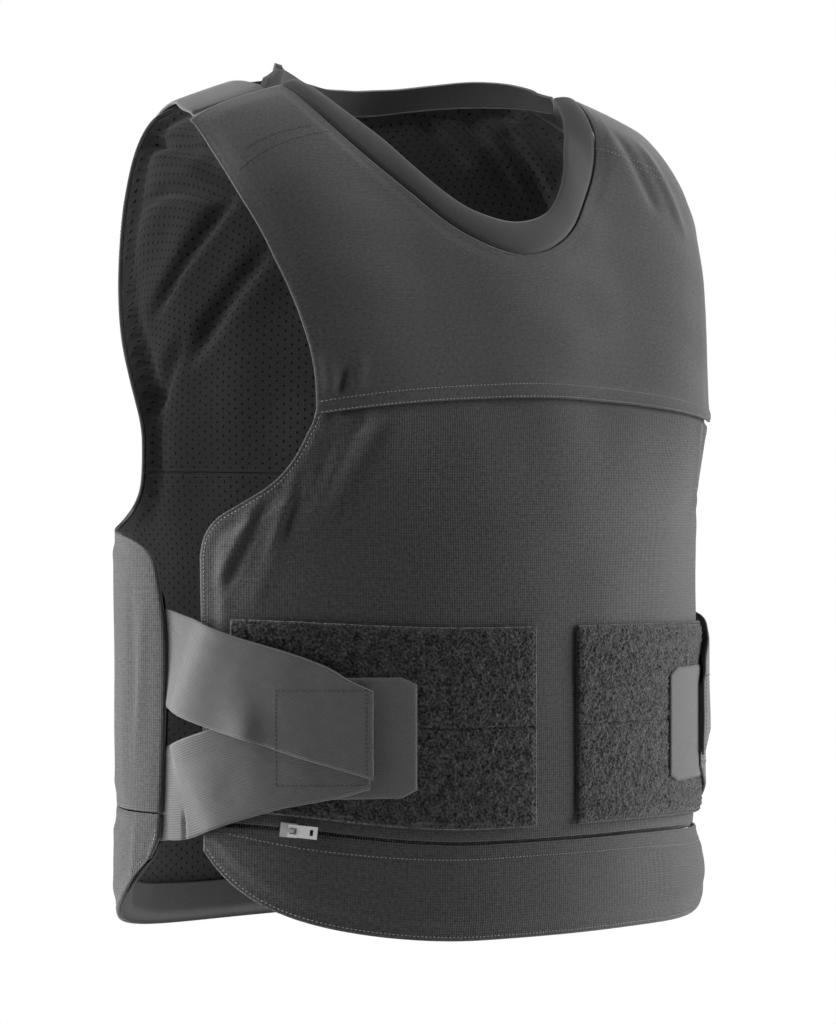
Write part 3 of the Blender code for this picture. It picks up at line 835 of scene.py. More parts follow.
YOKE_FOLDS = fold_lines((
    # turn, rise, turn, rise, half width, height
    (-42.8, 330, -42.4, 300, 3.4, 1.5), (-39.2, 318, -40.6, 300, 2.8, -2), (-36.4, 326, -37.6, 300, 3.4, 0.9),
    (42, 462, 44, 420, 4.5, 1.2), (36, 465, 37, 428, 4.5, -1.2), (52, 420, 44, 330, 8, 1.2),
))


def place_yoke(across, up):
    side, part = halves(across, up, NECK_START)
    inner_rise, outer_turn, outer_rise = through(YOKE_ROWS, up)[1:]
    along_neck = np.clip((up - NECK_START) / (1.0 - NECK_START), 0.0, 1.0)
    neck_turn, neck_rise = from_middle(NECK_SEAM, along_neck)
    inner_turn = np.where(up > NECK_START, neck_turn, 0.0)
    inner_rise = np.where(up > NECK_START, neck_rise, inner_rise)
    turn = np.maximum(inner_turn + (outer_turn - inner_turn) * part, 0.0) * side
    rise = inner_rise + (outer_rise - inner_rise) * part
    arch = seam_arch(SEAM_SIDE, part) - (SEAM_CENTRE + (SEAM_SIDE - SEAM_CENTRE) * part)
    rise = rise + arch * smooth(1.0 - up * 5.0)
    return turn, rise, 0.0, arc(turn), climb(rise)


# %% Over the wearer's left shoulder
SHOULDER_STAND = 6.0


def left_shoulder(turn, rise):
    """Over the wearer's left shoulder the cloth stands up a little off the body."""
    ahead = np.abs(turn) < 90.0
    across = np.where(ahead, turn, 180.0 - turn)
    stand = SHOULDER_STAND * share(across, 24.0, 35.0) * (1.0 - 0.7 * share(across, 50.0, 62.0))
    stand *= np.where(ahead, share(rise, 425.0, 470.0), share(rise, 450.0, 495.0))
    return np.where(turn > 0.0, stand, 0.0)


# %% Padding of the yoke
SEAM_ROWS = (1.3, 9.6)
YOKE_EDGE = 1.6
YOKE_END = 2.2


def above_seam(turn, rise):
    """mm above the chest seam."""
    return rise - seam_arch(SEAM_SIDE, np.clip(turn / SEAM_TURN, -1.0, 1.0))


def lift_yoke(turn, rise, edge):
    seam = above_seam(turn, rise)
    band = 0.9 * smooth((13.0 - seam) / 4.0) + rolled(seam, 0.5, 0.8)
    pressed = -0.35 * (hump(seam, SEAM_ROWS[0], 0.7) + hump(seam, SEAM_ROWS[1], 0.9))
    pressed *= smooth((20.0 - seam) / 5.0)
    soft = softness(arc(turn), climb(rise), edge, 0.4, 60.0, 5)
    relief = folds(arc(turn), rise, YOKE_FOLDS) * smooth(edge / 6.0) * smooth((seam - 6.0) / 8.0)
    margin = padded_height(edge, 4.0, 0.5, 0.0, 1.8)
    return margin + band + pressed + soft + relief + left_shoulder(turn, rise)


def wall_yoke(turn, rise, edge):
    seam = above_seam(turn, rise)
    shoulder_end = smooth((rise - 462.0) / 12.0)
    pad = YOKE_EDGE + (PAD - YOKE_EDGE) * smooth((edge - 5.0) / 6.0) * smooth((seam - 5.0) / 6.0)
    return pad + (YOKE_END - pad) * shoulder_end * smooth(pad - YOKE_END)


yoke = lay("vest_yoke", mirrored_grid(88, 130, NECK_START), place_yoke, lift_yoke, wall_yoke,
           free_edge=lambda across, up: up > 0.001)
dress(yoke, yoke_cloth, "charcoal_cloth", "front_yoke", inside=facing_cloth)

# %% [markdown]
# ## Neck bands
#
# The front neckline ends in a plain rounded band set in a dark seam. The back one stands up as a low
# collar. Both are folded strips round a thin filling, so they are crowned across their width.

# %% Front neck band
NECK_INNER = (
    # turn, rise
    (0, 406.5), (4.2, 408.5), (8.6, 414), (12.5, 423.4), (16.7, 437.5), (20.8, 454.3),
    (24.4, 466.9), (27, 477.5), (29.5, 490.5),
)
BAND = 4.0
BAND_CROWN = 1.6
BAND_WIDTH = 18.0
BAND_HALF = 150.0
TUCK = 0.08


def crowned(across):
    """1 along the middle of a strip, 0 at both edges."""
    return 1.0 - (2.0 * across - 1.0) ** 2


def place_neck_band(across, up):
    """Across runs from the seam to the neck's edge, and up along the band. Its seam edge is tucked
    under the yoke, so that no slit shows between them."""
    side = np.where(up < 0.0, -1.0, 1.0)
    along = np.abs(up)
    seam_turn, seam_rise = from_middle(NECK_SEAM, along)
    inner_turn, inner_rise = from_middle(NECK_INNER, along)
    part = (1.0 + TUCK) * across - TUCK
    turn = np.maximum(seam_turn + (inner_turn - seam_turn) * part, 0.0) * side
    rise = seam_rise + (inner_rise - seam_rise) * part
    height = BAND_CROWN * crowned(across) - 0.7 - 1.9 * (1.0 - share(part, 0.01, 0.09))
    return turn, rise, height, side * along * BAND_HALF, across * BAND_WIDTH


def band_cut(columns, rows):
    """A long strip whose up runs from -1 to 1."""
    cut = flat_grid(columns, rows)
    bmesh.ops.translate(cut, vec=(0.0, -0.5, 0.0), verts=cut.verts)
    bmesh.ops.scale(cut, vec=(1.0, 2.0, 1.0), verts=cut.verts)
    return cut


def lift_band(turn, rise, edge):
    return left_shoulder(turn, rise) + rolled(edge, 0.8, 1.4)


def wall_band(turn, rise, edge):
    return 2.0 + (BAND - 2.0) * smooth(edge / 3.0)


neck_band = lay("neck_band_front", band_cut(16, 220), place_neck_band, lift_band, wall_band)
dress(neck_band, band_cloth, "band_cloth", "front_neck_band")

# %% Back neck band
BACK_NECK = (
    # turn, rise
    (180, 451), (175.5, 451.8), (170.5, 455.5), (164, 464.5), (156.5, 478.5), (151, 492),
    (148, 501.5),
)
COLLAR_ROWS = (
    # height over the neckline and reach below it, from the wearer's right to the left
    (1.4, 6), (7.4, 6), (8.2, 5.5), (7.6, 5), (8.1, 5), (8.4, 5), (9.5, 5), (9.2, 5.5), (9.5, 5.5),
    (9.6, 5.5), (9.7, 5.5), (8.8, 5.5), (8.9, 5.5), (9.8, 5.5), (8.9, 5.5), (6.3, 6), (2.6, 7.5),
)
COLLAR_INSET = 2.8
COLLAR_LEAN = 1.5
COLLAR_CROWN = 0.9
# Past this part of each half the collar's ends leave the neckline, so many mm out, back and up
COLLAR_ENDS = 0.93
REACH_RIGHT = (11.0, -3.0, -2.5)
REACH_LEFT = (4.8, -8.0, -0.6)


def collar():
    """A strip that stands on the back neckline, closed by its own fold along the top."""
    cut = band_cut(10, 220)
    points = np.array([corner.co for corner in cut.verts])
    across, up = points[:, 0], points[:, 1]
    side = np.where(up < 0.0, -1.0, 1.0)
    turn, rise = through(BACK_NECK, np.minimum(np.abs(up) / COLLAR_ENDS, 1.0))
    foot = on_form(turn * side, rise, 0.0)
    past = np.maximum(np.abs(up) - COLLAR_ENDS, 0.0) / (1.0 - COLLAR_ENDS)
    reach = np.where(side[:, None] < 0.0, REACH_RIGHT, REACH_LEFT)
    reach[:, 0] *= side
    foot += reach * (past * MM)[:, None]
    inward = -foot * (1.0, 1.0, 0.0)
    inward /= np.linalg.norm(inward, axis=1, keepdims=True)
    inset = COLLAR_INSET + COLLAR_LEAN * across - COLLAR_CROWN * crowned(across)
    foot += inward * (inset * MM)[:, None]
    height, sink = through(COLLAR_ROWS, 0.5 + 0.5 * up)
    foot[:, 2] += ((height + sink) * across - sink) * MM
    for corner, point in zip(cut.verts, foot):
        corner.co = point
    bmesh.ops.recalc_face_normals(cut, faces=cut.faces)
    bmesh.ops.solidify(cut, geom=cut.faces[:], thickness=BAND * MM)
    bmesh.ops.recalc_face_normals(cut, faces=cut.faces)
    return cut


def mesh_piece(name, shape, bevel=0.0):
    """An object from a bmesh, with its cut map filled from its own lengths."""
    mesh = bpy.data.meshes.new(name)
    cut_map = shape.loops.layers.uv.new("cut")
    for face in shape.faces:
        for corner in face.loops:
            corner[cut_map].uv = (corner.vert.co.x, corner.vert.co.z)
    shape.to_mesh(mesh)
    shape.free()
    mesh.shade_smooth()
    piece = show(name, mesh)
    if bevel:
        rounding = piece.modifiers.new("rounding", "BEVEL")
        rounding.width = bevel * MM
        rounding.segments = 3
        rounding.limit_method = "ANGLE"
    print(f"{name}: {len(mesh.polygons)} faces")
    return piece


back_band = mesh_piece("neck_band_back", collar(), bevel=1.3)
dress(back_band, band_cloth, "band_cloth", "back_neck_band")

# %% [markdown]
# ## Back
#
# The back is one padded panel with a flap on each side that reaches forward under the arms. The
# straps are sewn to the flaps. A seam crosses it near the hem. Its rows come from a table, because
# the back is a curved outline and no simple shape.

# %% Rows of the back
BACK_ROWS = (
    # inner_turn, inner_rise, outer_turn, outer_rise, bow
    (180, -5, 86, 44, 3.4), (180, 25, 83.5, 53, 2.5), (180, 62, 82.6, 62, 1),
    (180, 105, 81.2, 105, 1), (180, 160, 80.8, 160, 1), (180, 192, 83, 190, 1),
    (180, 206, 84.8, 202, 1), (180, 213, 89, 209, 1), (180, 219, 97, 213.5, 1),
    (180, 225, 112, 217, 1), (180, 233, 126, 222, 1), (180, 245, 135.5, 233, 1),
    (180, 262, 139, 250, 1), (180, 290, 138.6, 282, 1), (180, 330, 133, 325, 1),
    (180, 372, 126.5, 368, 1), (180, 412, 121.5, 408, 1), (180, 451, 119.8, 430, 1),
    (175.5, 451.8, 119.6, 437.5, 1), (170.5, 455.5, 119.6, 445, 1), (164, 464.5, 120, 455, 1),
    (156.5, 478.5, 121, 467, 1), (151, 492, 122.5, 479, 1),
)
BACK_LAST = len(BACK_ROWS) - 1
BACK_SEAM_LEVEL = 2.2
BACK_NECK_LEVEL = 17.0
FACING_LEVEL = 0.82


def place_back(first, last):
    """A place function for the part of the back between two rows of its table."""
    split = (BACK_NECK_LEVEL - first) / (last - first)

    def place(across, up):
        side, part = halves(across, up, split)
        level = (first + (last - first) * up) / BACK_LAST
        inner_turn, inner_rise, outer_turn, outer_rise, bow = through(BACK_ROWS, np.clip(level, 0.0, 1.0))
        turn = side * np.minimum(inner_turn + (outer_turn - inner_turn) * part, 180.0)
        rise = inner_rise + (outer_rise - inner_rise) * part ** np.maximum(bow, 1.0)
        return turn, rise, 0.0, back_arc(turn), climb(rise)

    return place, split


print("the back's table:", len(BACK_ROWS), "rows")

# %% Padding of the back
FLAP = 1.9
# Soft upright folds of the flaps
FLAP_FOLDS = (
    # turn, rise, turn, rise, half width in degrees, height
    (88, 175, 90.5, 105, 1.6, 0.9), (94, 185, 93, 120, 2, -0.8),
    (91.5, 60, 93.5, 25, 1.6, 0.9), (85, 60, 88.5, 35, 1.1, -0.7),
    (100, 140, 98, 70, 2.2, 0.7),
)


def flap_share(turn, rise):
    """1 on the thin flaps that reach forward under the arms, 0 on the padded back."""
    return share(np.abs(turn), 106.0, 94.0) * share(rise, 226.0, 206.0)


def lift_back(turn, rise, edge):
    soft = softness(back_arc(turn), rise, edge, 0.5, 60.0, 11)
    flap = flap_share(turn, rise)
    relief = folds(np.abs(turn), rise, FLAP_FOLDS) * flap * smooth(edge / 3.0)
    cushioned = padded_height(edge, 6.0, 1.0, 0.3) * (1.0 - flap)
    return cushioned + padded_height(edge, 6.0, 0.0, 0.0) * flap + soft + relief


def wall_back(turn, rise, edge):
    """The pad's whole wall, and two bare layers of cloth at the flaps."""
    flap = flap_share(turn, rise)
    return padded_wall(turn, rise, edge) * (1.0 - flap) + FLAP * flap


# %% Back panels
SEAM_GAP = 0.012


def open_edge(mesh):
    """Corners on the open edges of a cut."""
    shape = bmesh.new()
    shape.from_mesh(mesh)
    rim = [corner.index for corner in shape.verts if corner.is_boundary]
    shape.free()
    return rim


place_upper, upper_split = place_back(BACK_SEAM_LEVEL + SEAM_GAP, BACK_LAST)
back = lay("vest_back", mirrored_grid(84, 130, upper_split), place_upper, lift_back, wall_back)
# Both back panels take the near-black painted shade on their inside, behind the lining
dress(back, charcoal, "charcoal_cloth", "back_panel", inside=shade_painted_inner_cloth, rim=1)
place_lower, lower_split = place_back(0.0, BACK_SEAM_LEVEL - SEAM_GAP)
back_hem = lay("vest_back_hem", mirrored_grid(84, 26, lower_split), place_lower, lift_back, wall_back)
dress(back_hem, charcoal, "charcoal_cloth", "back_hem_panel", inside=shade_painted_inner_cloth)

# %% Inside of the back's margin
# The inner cloth behind the lining is painted near black, as painted shade that shows through the holes. No
# lining covers the margin and the top, so a second pair of finishes gives those faces plain facing cloth
# inside
TURNED_MARGIN = 4.5
SHOULDER_DEPTH = 0.045
TOP_SHOULDERS, TOP_NECK = -0.02, 0.0

turned_in = edge_distance([corner.co for corner in back.data.vertices], open_edge(back.data))
back.data.materials.append(charcoal)
back.data.materials.append(facing_cloth)
for face in back.data.polygons:
    top = TOP_SHOULDERS if face.center.y < SHOULDER_DEPTH else TOP_NECK
    if face.center.z > top or min(turned_in[corner] for corner in face.vertices) < TURNED_MARGIN:
        face.material_index = 2

# %% [markdown]
# ## Perforated lining
#
# Inside, the back is lined with a dark mesh whose small holes sit about 5.4 mm apart in offset rows.
# Painting dots would look flat where the lining turns to the light, so the holes are cut through.
#
# One bevel does the work: in a flat grid, every second corner is bevelled into a small round face,
# and those faces are deleted. The grid is cut to the back's outline before it is laid in, so the
# holes stay evenly spaced right up to the edge, as in cloth cut from a roll.

# %% Outline of the back, in flat lengths


def hem_of_back(part):
    """Turns and rises of the back's hem, part 0 in its middle and 1 at the side."""
    (middle_turn, middle_rise), (side_turn, side_rise) = BACK_ROWS[0][:2], BACK_ROWS[0][2:4]
    rise = middle_rise + (side_rise - middle_rise) * part ** BACK_ROWS[0][4]
    return middle_turn + (side_turn - middle_turn) * part, rise


def back_outline(samples=60):
    """Half of the back's outline in mm from the middle of the back, and up."""
    level = np.linspace(0.0, 1.0, 6 * samples)
    inner_turn, inner_rise, outer_turn, outer_rise = through(BACK_ROWS, level)[:4]
    bottom_turn, bottom_rise = hem_of_back(np.linspace(0.0, 1.0, samples))
    neck_turn, neck_rise = through(BACK_NECK[:6], np.linspace(1.0, 0.0, samples))
    turns = np.concatenate([bottom_turn, outer_turn, neck_turn])
    rises = np.concatenate([bottom_rise, outer_rise, neck_rise])
    return np.stack([ARCS[-1] - np.interp(turns, TURNS, ARCS), climb(rises)], axis=-1)


OUTLINE = back_outline()


def depth_inside(x, y):
    """mm inside the outline, negative outside it."""
    x = np.abs(x)
    inside = np.zeros(x.shape, bool)
    nearest = np.full(x.shape, np.inf)
    for (ax, ay), (bx, by) in zip(OUTLINE, np.roll(OUTLINE, -1, axis=0)):
        run_x, run_y = bx - ax, by - ay
        if run_y:
            inside ^= ((ay > y) != (by > y)) & (x < run_x * (y - ay) / run_y + ax)
        if ax > 0.01 or bx > 0.01:
            length = max(run_x**2 + run_y**2, 1e-9)
            part = np.clip(((x - ax) * run_x + (y - ay) * run_y) / length, 0.0, 1.0)
            nearest = np.minimum(nearest, np.hypot(x - ax - part * run_x, y - ay - part * run_y))
    return np.where(inside, nearest, -nearest)


print("half outline:", len(OUTLINE), "points,", round(float(OUTLINE[:, 0].max())), "mm round the side")

# %% Even edge of the lining
LINING_INSET = 1.3


def even_edge(cut, low, high):
    """Moves the stepped edge of the grid to one even line inside the outline."""
    rim = [corner for corner in cut.verts if corner.is_boundary and low + 0.5 < corner.co.y < high - 0.5]
    x, y = np.array([corner.co[:2] for corner in rim]).T
    slope_x = depth_inside(x + 0.5, y) - depth_inside(x - 0.5, y)
    slope_y = depth_inside(x, y + 0.5) - depth_inside(x, y - 0.5)
    steep = np.maximum(np.hypot(slope_x, slope_y), 0.5)
    move = np.clip(depth_inside(x, y) - LINING_INSET, -4.0, 4.0)
    for corner, shift_x, shift_y in zip(rim, -move * slope_x / steep, -move * slope_y / steep):
        corner.co.x += shift_x
        corner.co.y = min(max(corner.co.y + shift_y, low), high)


# %% Mesh with real holes
HOLE_PITCH_X = 5.5
HOLE_PITCH_Y = 5.4
HOLE_RADIUS = 1.25
HOLE_MARGIN = 3.0
HOLE_END = 2.5


def perforated(low, high):
    """Flat lining between two heights, with its holes."""
    columns = 2 * round(OUTLINE[:, 0].max() / HOLE_PITCH_X)
    rows = max(2, round((high - low) / (HOLE_PITCH_Y / 2.0)))
    cut = flat_grid(columns, rows)
    bmesh.ops.translate(cut, vec=(-0.5, 0.0, 0.0), verts=cut.verts)
    bmesh.ops.scale(cut, vec=(columns * HOLE_PITCH_X, high - low, 1.0), verts=cut.verts)
    bmesh.ops.translate(cut, vec=(0.0, low, 0.0), verts=cut.verts)
    x, y = np.array([corner.co[:2] for corner in cut.verts]).T
    column = np.round(x / HOLE_PITCH_X).astype(int)
    row = np.round((y - low) / (high - low) * rows).astype(int)
    room = (depth_inside(x, y) > LINING_INSET + HOLE_MARGIN) & (np.minimum(y - low, high - y) > HOLE_END)
    holed = room & ((column + row) % 2 == 0)
    corners = [corner for corner, hole in zip(cut.verts, holed) if hole]
    face_depths = depth_inside(*np.array([face.calc_center_median()[:2] for face in cut.faces]).T)
    spare = [face for face, depth in zip(cut.faces, face_depths) if depth <= LINING_INSET]
    bmesh.ops.delete(cut, geom=spare, context="FACES")
    corners = [corner for corner in corners if corner.is_valid and not corner.is_boundary]
    even_edge(cut, low, high)
    made = bmesh.ops.bevel(cut, geom=corners, offset=HOLE_RADIUS, offset_type="OFFSET", affect="VERTICES",
                           segments=2, profile=0.5, material=-1)
    bmesh.ops.delete(cut, geom=made["faces"], context="FACES")
    bmesh.ops.scale(cut, vec=(1.0, 1.0, 0.0), verts=cut.verts)
    size = (columns * HOLE_PITCH_X * MM, (high - low) * MM)
    area = sum(face.calc_area() for face in cut.faces) * MM * MM
    print("holes:", len(corners), "cut", [round(length, 3) for length in size], "area", round(area, 4))
    return cut, size, area


# %% Slack of the lining
LINING_HEIGHT = -7.6
# Folds on the wearer's right, seen through the armhole, and at the neckline on the left
LINING_FOLDS = fold_lines((
    # turn, rise, turn, rise, half width, height
    (-122, 468, -155, 429, 4.5, -6), (-130, 436, -160, 411, 5, -5), (-160, 410, -140, 372, 7, -5.5),
    (-172, 385, -152, 330, 8, -6), (-126, 380, -140, 300, 9, -4), (-150, 345, -135, 270, 8, -4),
    (162, 457, 149, 443, 5, -3.4), (155, 470, 136, 444, 5, -3.4), (147, 474, 127, 448, 5, -3.4),
), back_arc, climb)


def place_lining(x, y):
    return turn_of_back_arc(x), rise_of_climb(y), LINING_HEIGHT, x, y


def lift_lining(turn, rise, edge):
    """Close under the panel's thin margin at the edge, and slack further in."""
    x, y = back_arc(turn), climb(rise)
    away = np.abs(depth_inside(x, y))
    over_straps = share(rise, 46.0, 54.0) * share(rise, 190.0, 181.0)
    hem = 4.2 + flap_share(turn, rise) * (0.7 - 2.6 * over_straps)
    slack = folds(x, y, LINING_FOLDS) - 1.4 - 1.2 * unevenness(x, y, 60.0, 21)
    slack = np.minimum(slack, 0.5 + 0.15 * slack) * share(rise, 42.0, 62.0) + 0.6 * share(rise, 62.0, 42.0)
    return hem * (1.0 - smooth((away - 1.5) / 9.0)) + smooth((away - 4.0) / 12.0) * slack


# %% Two halves of the lining
LINING_RISES = (16.0, 249.0, 490.0)
HALF_GAP = 0.2

low_edge, lining_seam, high_edge = climb(LINING_RISES)
cut, size, area = perforated(low_edge, lining_seam - HALF_GAP)
lining_low = lay("lining_lower", cut, place_lining, lift_lining, None)
dress(lining_low, lining_cloth, "perforated_lining", "back_lining")
cut, size, area = perforated(lining_seam + HALF_GAP, high_edge)
lining_high = lay("lining_upper", cut, place_lining, lift_lining, None)
dress(lining_high, lining_cloth, "perforated_lining")

# %% Hem facing
FACING_HEIGHT = -8.4
FACING_TURN = 85.0

place_facing = place_back(0.03, FACING_LEVEL - 0.03)[0]


def place_facing_in(across, up):
    turn, rise, height, x, y = place_facing(across, up)
    return np.sign(turn) * np.maximum(np.abs(turn), FACING_TURN), rise, FACING_HEIGHT, x, y


def lift_facing(turn, rise, edge):
    """Turned up to the hem's edge, where the panel is thin."""
    return 5.2 * (1.0 - smooth((edge - 1.0) / 7.0)) + 0.2 * unevenness(back_arc(turn), rise, 40.0, 17)


facing = lay("hem_facing", mirrored_grid(120, 26), place_facing_in, lift_facing, even(1.0), below_top)
dress(facing, facing_cloth, "band_cloth", "back_hem_facing")

# %% [markdown]
# ## Straps
#
# Two 50 mm elastics leave each side flap, cross towards the front and are boxed together on a hook
# tab. They lie in a stack: patch, tab, lower strap, upper strap. The same tables as the solids keep
# that order, and the finer grid adds the slack swell beside the stitched box.

# %% Where the side straps run
ELASTIC = 1.2
ELASTIC_WIDTH = 50.0
STRAP_LENGTH = 150.0
STRAP_UPPER = (
    # turn, rise of the middle, height of the underside
    (84.5, 151, -4.6), (80.6, 150.6, -3.9), (76, 147.5, -0.8), (71, 143.5, 5.3), (63.6, 137.5, 6.4),
    (54.4, 130.5, 6.4), (47.9, 124, 6.4), (41.8, 117, 6.4), (35.8, 110.5, 6.4),
)
STRAP_LOWER = (
    # turn, rise of the middle, height of the underside
    (84.5, 78, -4.6), (81, 79, -3.9), (76.4, 80, -1.5), (71, 84.5, 3.5), (63.6, 90.5, 4.5),
    (54.4, 97, 4.5), (46.2, 101, 4.5), (41, 103.5, 4.5), (36.2, 106.5, 4.5),
)
HOLD_TURN = 71.0
LEFT_SHIFT = 12.2


def left_table(table):
    """On the wearer's left the straps end nearer the side."""
    last = table[-1][0]
    return tuple(
        (turn + LEFT_SHIFT * max(0.0, HOLD_TURN - turn) / (HOLD_TURN - last), rise, height)
        for turn, rise, height in table
    )


def place_strap(table, side):
    """A strip of even width along a table's middle line."""

    def place(across, up):
        turn, rise, height = through(table, across)
        ahead = through(table, np.minimum(across + 0.02, 1.0))
        behind = through(table, np.maximum(across - 0.02, 0.0))
        run = body_form(ahead[0], ahead[1]) - body_form(behind[0], behind[1])
        level = np.hypot(run[..., 0], run[..., 1])
        slope = np.arctan2(run[..., 2], level)
        reach = (up - 0.5) * ELASTIC_WIDTH
        per_degree = level / np.abs(ahead[0] - behind[0])
        lean = reach * np.sin(slope) / per_degree * np.minimum(1.0, 4.0 * across)
        turn = side * (turn + lean * share(across, 1.0, 0.72))
        return turn, rise + reach * np.cos(slope), height + ELASTIC, across * STRAP_LENGTH, reach

    return place


def flat_size(name, width, place, pulled=False):
    """Width and length of a strip in metres, along its middle line; across runs along it."""
    along = np.linspace(0.0, 1.0, 200)
    turn, rise, height = place(along, np.full(200, 0.5))[:3]
    size = (width * MM, float(length_to(on_form(turn, rise, height, pulled))[-1]))
    print(f"  {name} is cut", [round(length, 3) for length in size])
    return size


# %% Side straps
SWELL_TURN = 59.5
SWELL_AHEAD, SWELL_BEHIND = 4.4, 2.3
CREASE_TURN = 75.0
STRAPS = (
    # name, table, side, swell, crease
    ("strap_right_upper", STRAP_UPPER, -1, 4.4, 0),
    ("strap_right_lower", STRAP_LOWER, -1, 0, 2),
    ("strap_left_upper", left_table(STRAP_UPPER), 1, 0.8, 0),
    ("strap_left_lower", left_table(STRAP_LOWER), 1, 0, 0),
)


def strap_lift(side, swell, crease):
    """Rolled long edges, a swell of slack cloth before the stitched box, and a pinched crease."""

    def lift(turn, rise, edge):
        width = np.where(side * turn > SWELL_TURN, SWELL_AHEAD, SWELL_BEHIND)
        slack = swell * hump(side * turn, SWELL_TURN, width) * smooth((134.0 - rise) / 26.0)
        pinch = -crease * hump(side * turn, CREASE_TURN, 0.4) * share(rise, 74.0, 62.0)
        return slack + pinch + rolled(edge, 0.35, 1.2) + 0.25 * unevenness(arc(turn), rise, 26.0, 31)

    return lift


straps = {}
for name, table, side, swell, crease in STRAPS:
    place = place_strap(table, side)
    made = lay("elastic_" + name, flat_grid(150, 30), place, strap_lift(side, swell, crease), even(ELASTIC))
    straps[name] = dress(made, elastic, "elastic", name)
    flat = flat_size(name, ELASTIC_WIDTH, place)

# %% Loop patches
PATCH_RISES = (59.0, 166.0)
PATCH_TURNS = (4.4, 63.3)
PATCH_TOP = 2.3
PATCH = 1.8
PATCH_SEAM = 112.5


def place_box(side, turns, rises, height, chamfer=0.0):
    """A place function for a patch between two turns and two rises."""

    def place(across, up):
        trim = chamfer * np.clip(1.0 - across * 9.0, 0.0, 1.0)
        turn = side * (turns[0] + (turns[1] - turns[0]) * across)
        rise = rises[0] + trim + (rises[1] - rises[0] - 2.0 * trim) * up
        return turn, rise, height, arc(turn), rise

    return place


def lift_patch(turn, rise, edge):
    """Uneven tufts inside a flat margin, and the seam between two rows of tape."""
    chance = np.random.default_rng(41)
    tufts = chance.normal(0.0, 0.38, turn.shape)
    fuzz = smooth((edge - 2.2) / 1.2)
    seam = -1.5 * hump(rise - PATCH_SEAM, 0.5 * unevenness(arc(turn), rise, 30.0, 43), 0.8)
    return fuzz * (0.5 + tufts + seam) + rolled(edge, 0.7, 1.0)


patches = {}
for name, side in (("loop_patch_right", -1.0), ("loop_patch_left", 1.0)):
    place = place_box(side, PATCH_TURNS, PATCH_RISES, PATCH_TOP)
    made = lay(name + "_pile", flat_grid(170, 128), place, lift_patch, even(PATCH), pulled=True)
    patches[name] = dress(made, loop_pile, "loop_pile", name)
    flat = flat_size(name, PATCH_RISES[1] - PATCH_RISES[0], place, pulled=True)

# %% Hook tabs
TAB_RISES = (77.0, 140.5)
TAB_TOP = 4.0
TAB = 1.3
TAB_CHAMFER = 4.0


def lift_tab(turn, rise, edge):
    return rolled(edge, 0.4, 0.9)


tabs = {}
for name, side, turns in (("hook_tab_right", -1.0, (27.6, 53.0)), ("hook_tab_left", 1.0, (31.0, 60.0))):
    place = place_box(side, turns, TAB_RISES, TAB_TOP, TAB_CHAMFER)
    made = lay(name + "_tape", flat_grid(54, 36), place, lift_tab, even(TAB))
    tabs[name] = dress(made, hook_tape, "hook_tape", name)
    flat = flat_size(name, TAB_RISES[1] - TAB_RISES[0], place)

# %% [markdown]
# ## Shoulder straps
#
# A paler elastic joins back and front over each shoulder. It lies on the back panel's end and under
# the end of the yoke, which is folded over it.

# %% Shoulder straps
SHOULDER_RUN = (
    # past the ridge, height
    (-42, -8.4), (-10, -8.4), (-4, -6), (6, -2.4), (17, 0.2), (36, 0.5), (60, 0.4),
)
SHOULDER_TAPER = 5.5
SHOULDER_TURNS = (35.0, 57.5)
SHOULDER_ELASTIC = 1.6
WEAVE_WIDTH = 65.0


def place_shoulder(side):
    """Up runs over the shoulder from the front to the back."""

    def place(across, up):
        past, height = through(SHOULDER_RUN, up)
        outer_turn = SHOULDER_TURNS[1] - SHOULDER_TAPER * share(past, 0.0, 22.0)
        turn = SHOULDER_TURNS[0] + (outer_turn - SHOULDER_TURNS[0]) * across
        rise = RIDGE_RISE - np.abs(past)
        turn = np.where(past > 0.0, 180.0 - turn, turn) * side
        return turn, rise, height + SHOULDER_ELASTIC, past, across * WEAVE_WIDTH

    return place


def lift_shoulder(turn, rise, edge):
    return left_shoulder(turn, rise) + rolled(edge, 0.4, 1.2)


for name, side in (("shoulder_strap_right", -1.0), ("shoulder_strap_left", 1.0)):
    place = place_shoulder(side)
    made = lay(name + "_elastic", flat_grid(30, 80), place, lift_shoulder, even(SHOULDER_ELASTIC))
    dress(made, elastic, "elastic", name)

# %% Zip tape
ZIP_WIDTH = 16.0
ZIP_TURN = 69.3
ZIP_HEIGHT = -7.2


def place_zip(across, up):
    turn = (2.0 * across - 1.0) * ZIP_TURN
    rise = ZIP_RISE + ZIP_WIDTH / 2.0 * (2.0 * up - 1.0)
    return turn, rise, ZIP_HEIGHT, arc(turn), rise


zip_backing = lay("zip_backing", flat_grid(200, 8), place_zip, even(0.0), even(1.0), pulled=True)
dress(zip_backing, zip_cloth, "zip_tape", "zip_tape")
flat = flat_size("zip_backing", ZIP_WIDTH, place_zip, pulled=True)

# %% Zip coil
COIL_PITCH = 1.4
COIL_SIZE = (0.9, 3.2, 1.1)
COIL_HEIGHT = -3.6

COIL_END = 68.0


def bead(shape, place, run, away, size):
    """A small rounded bead, with its length along run and its height away from the cloth."""
    turned = Matrix((run, away.cross(run), away)).transposed().to_4x4()
    turned.translation = place
    sized = Matrix.Diagonal((*(0.5 * MM * length for length in size), 1.0))
    bmesh.ops.create_icosphere(shape, subdivisions=1, radius=1.0, matrix=turned @ sized)


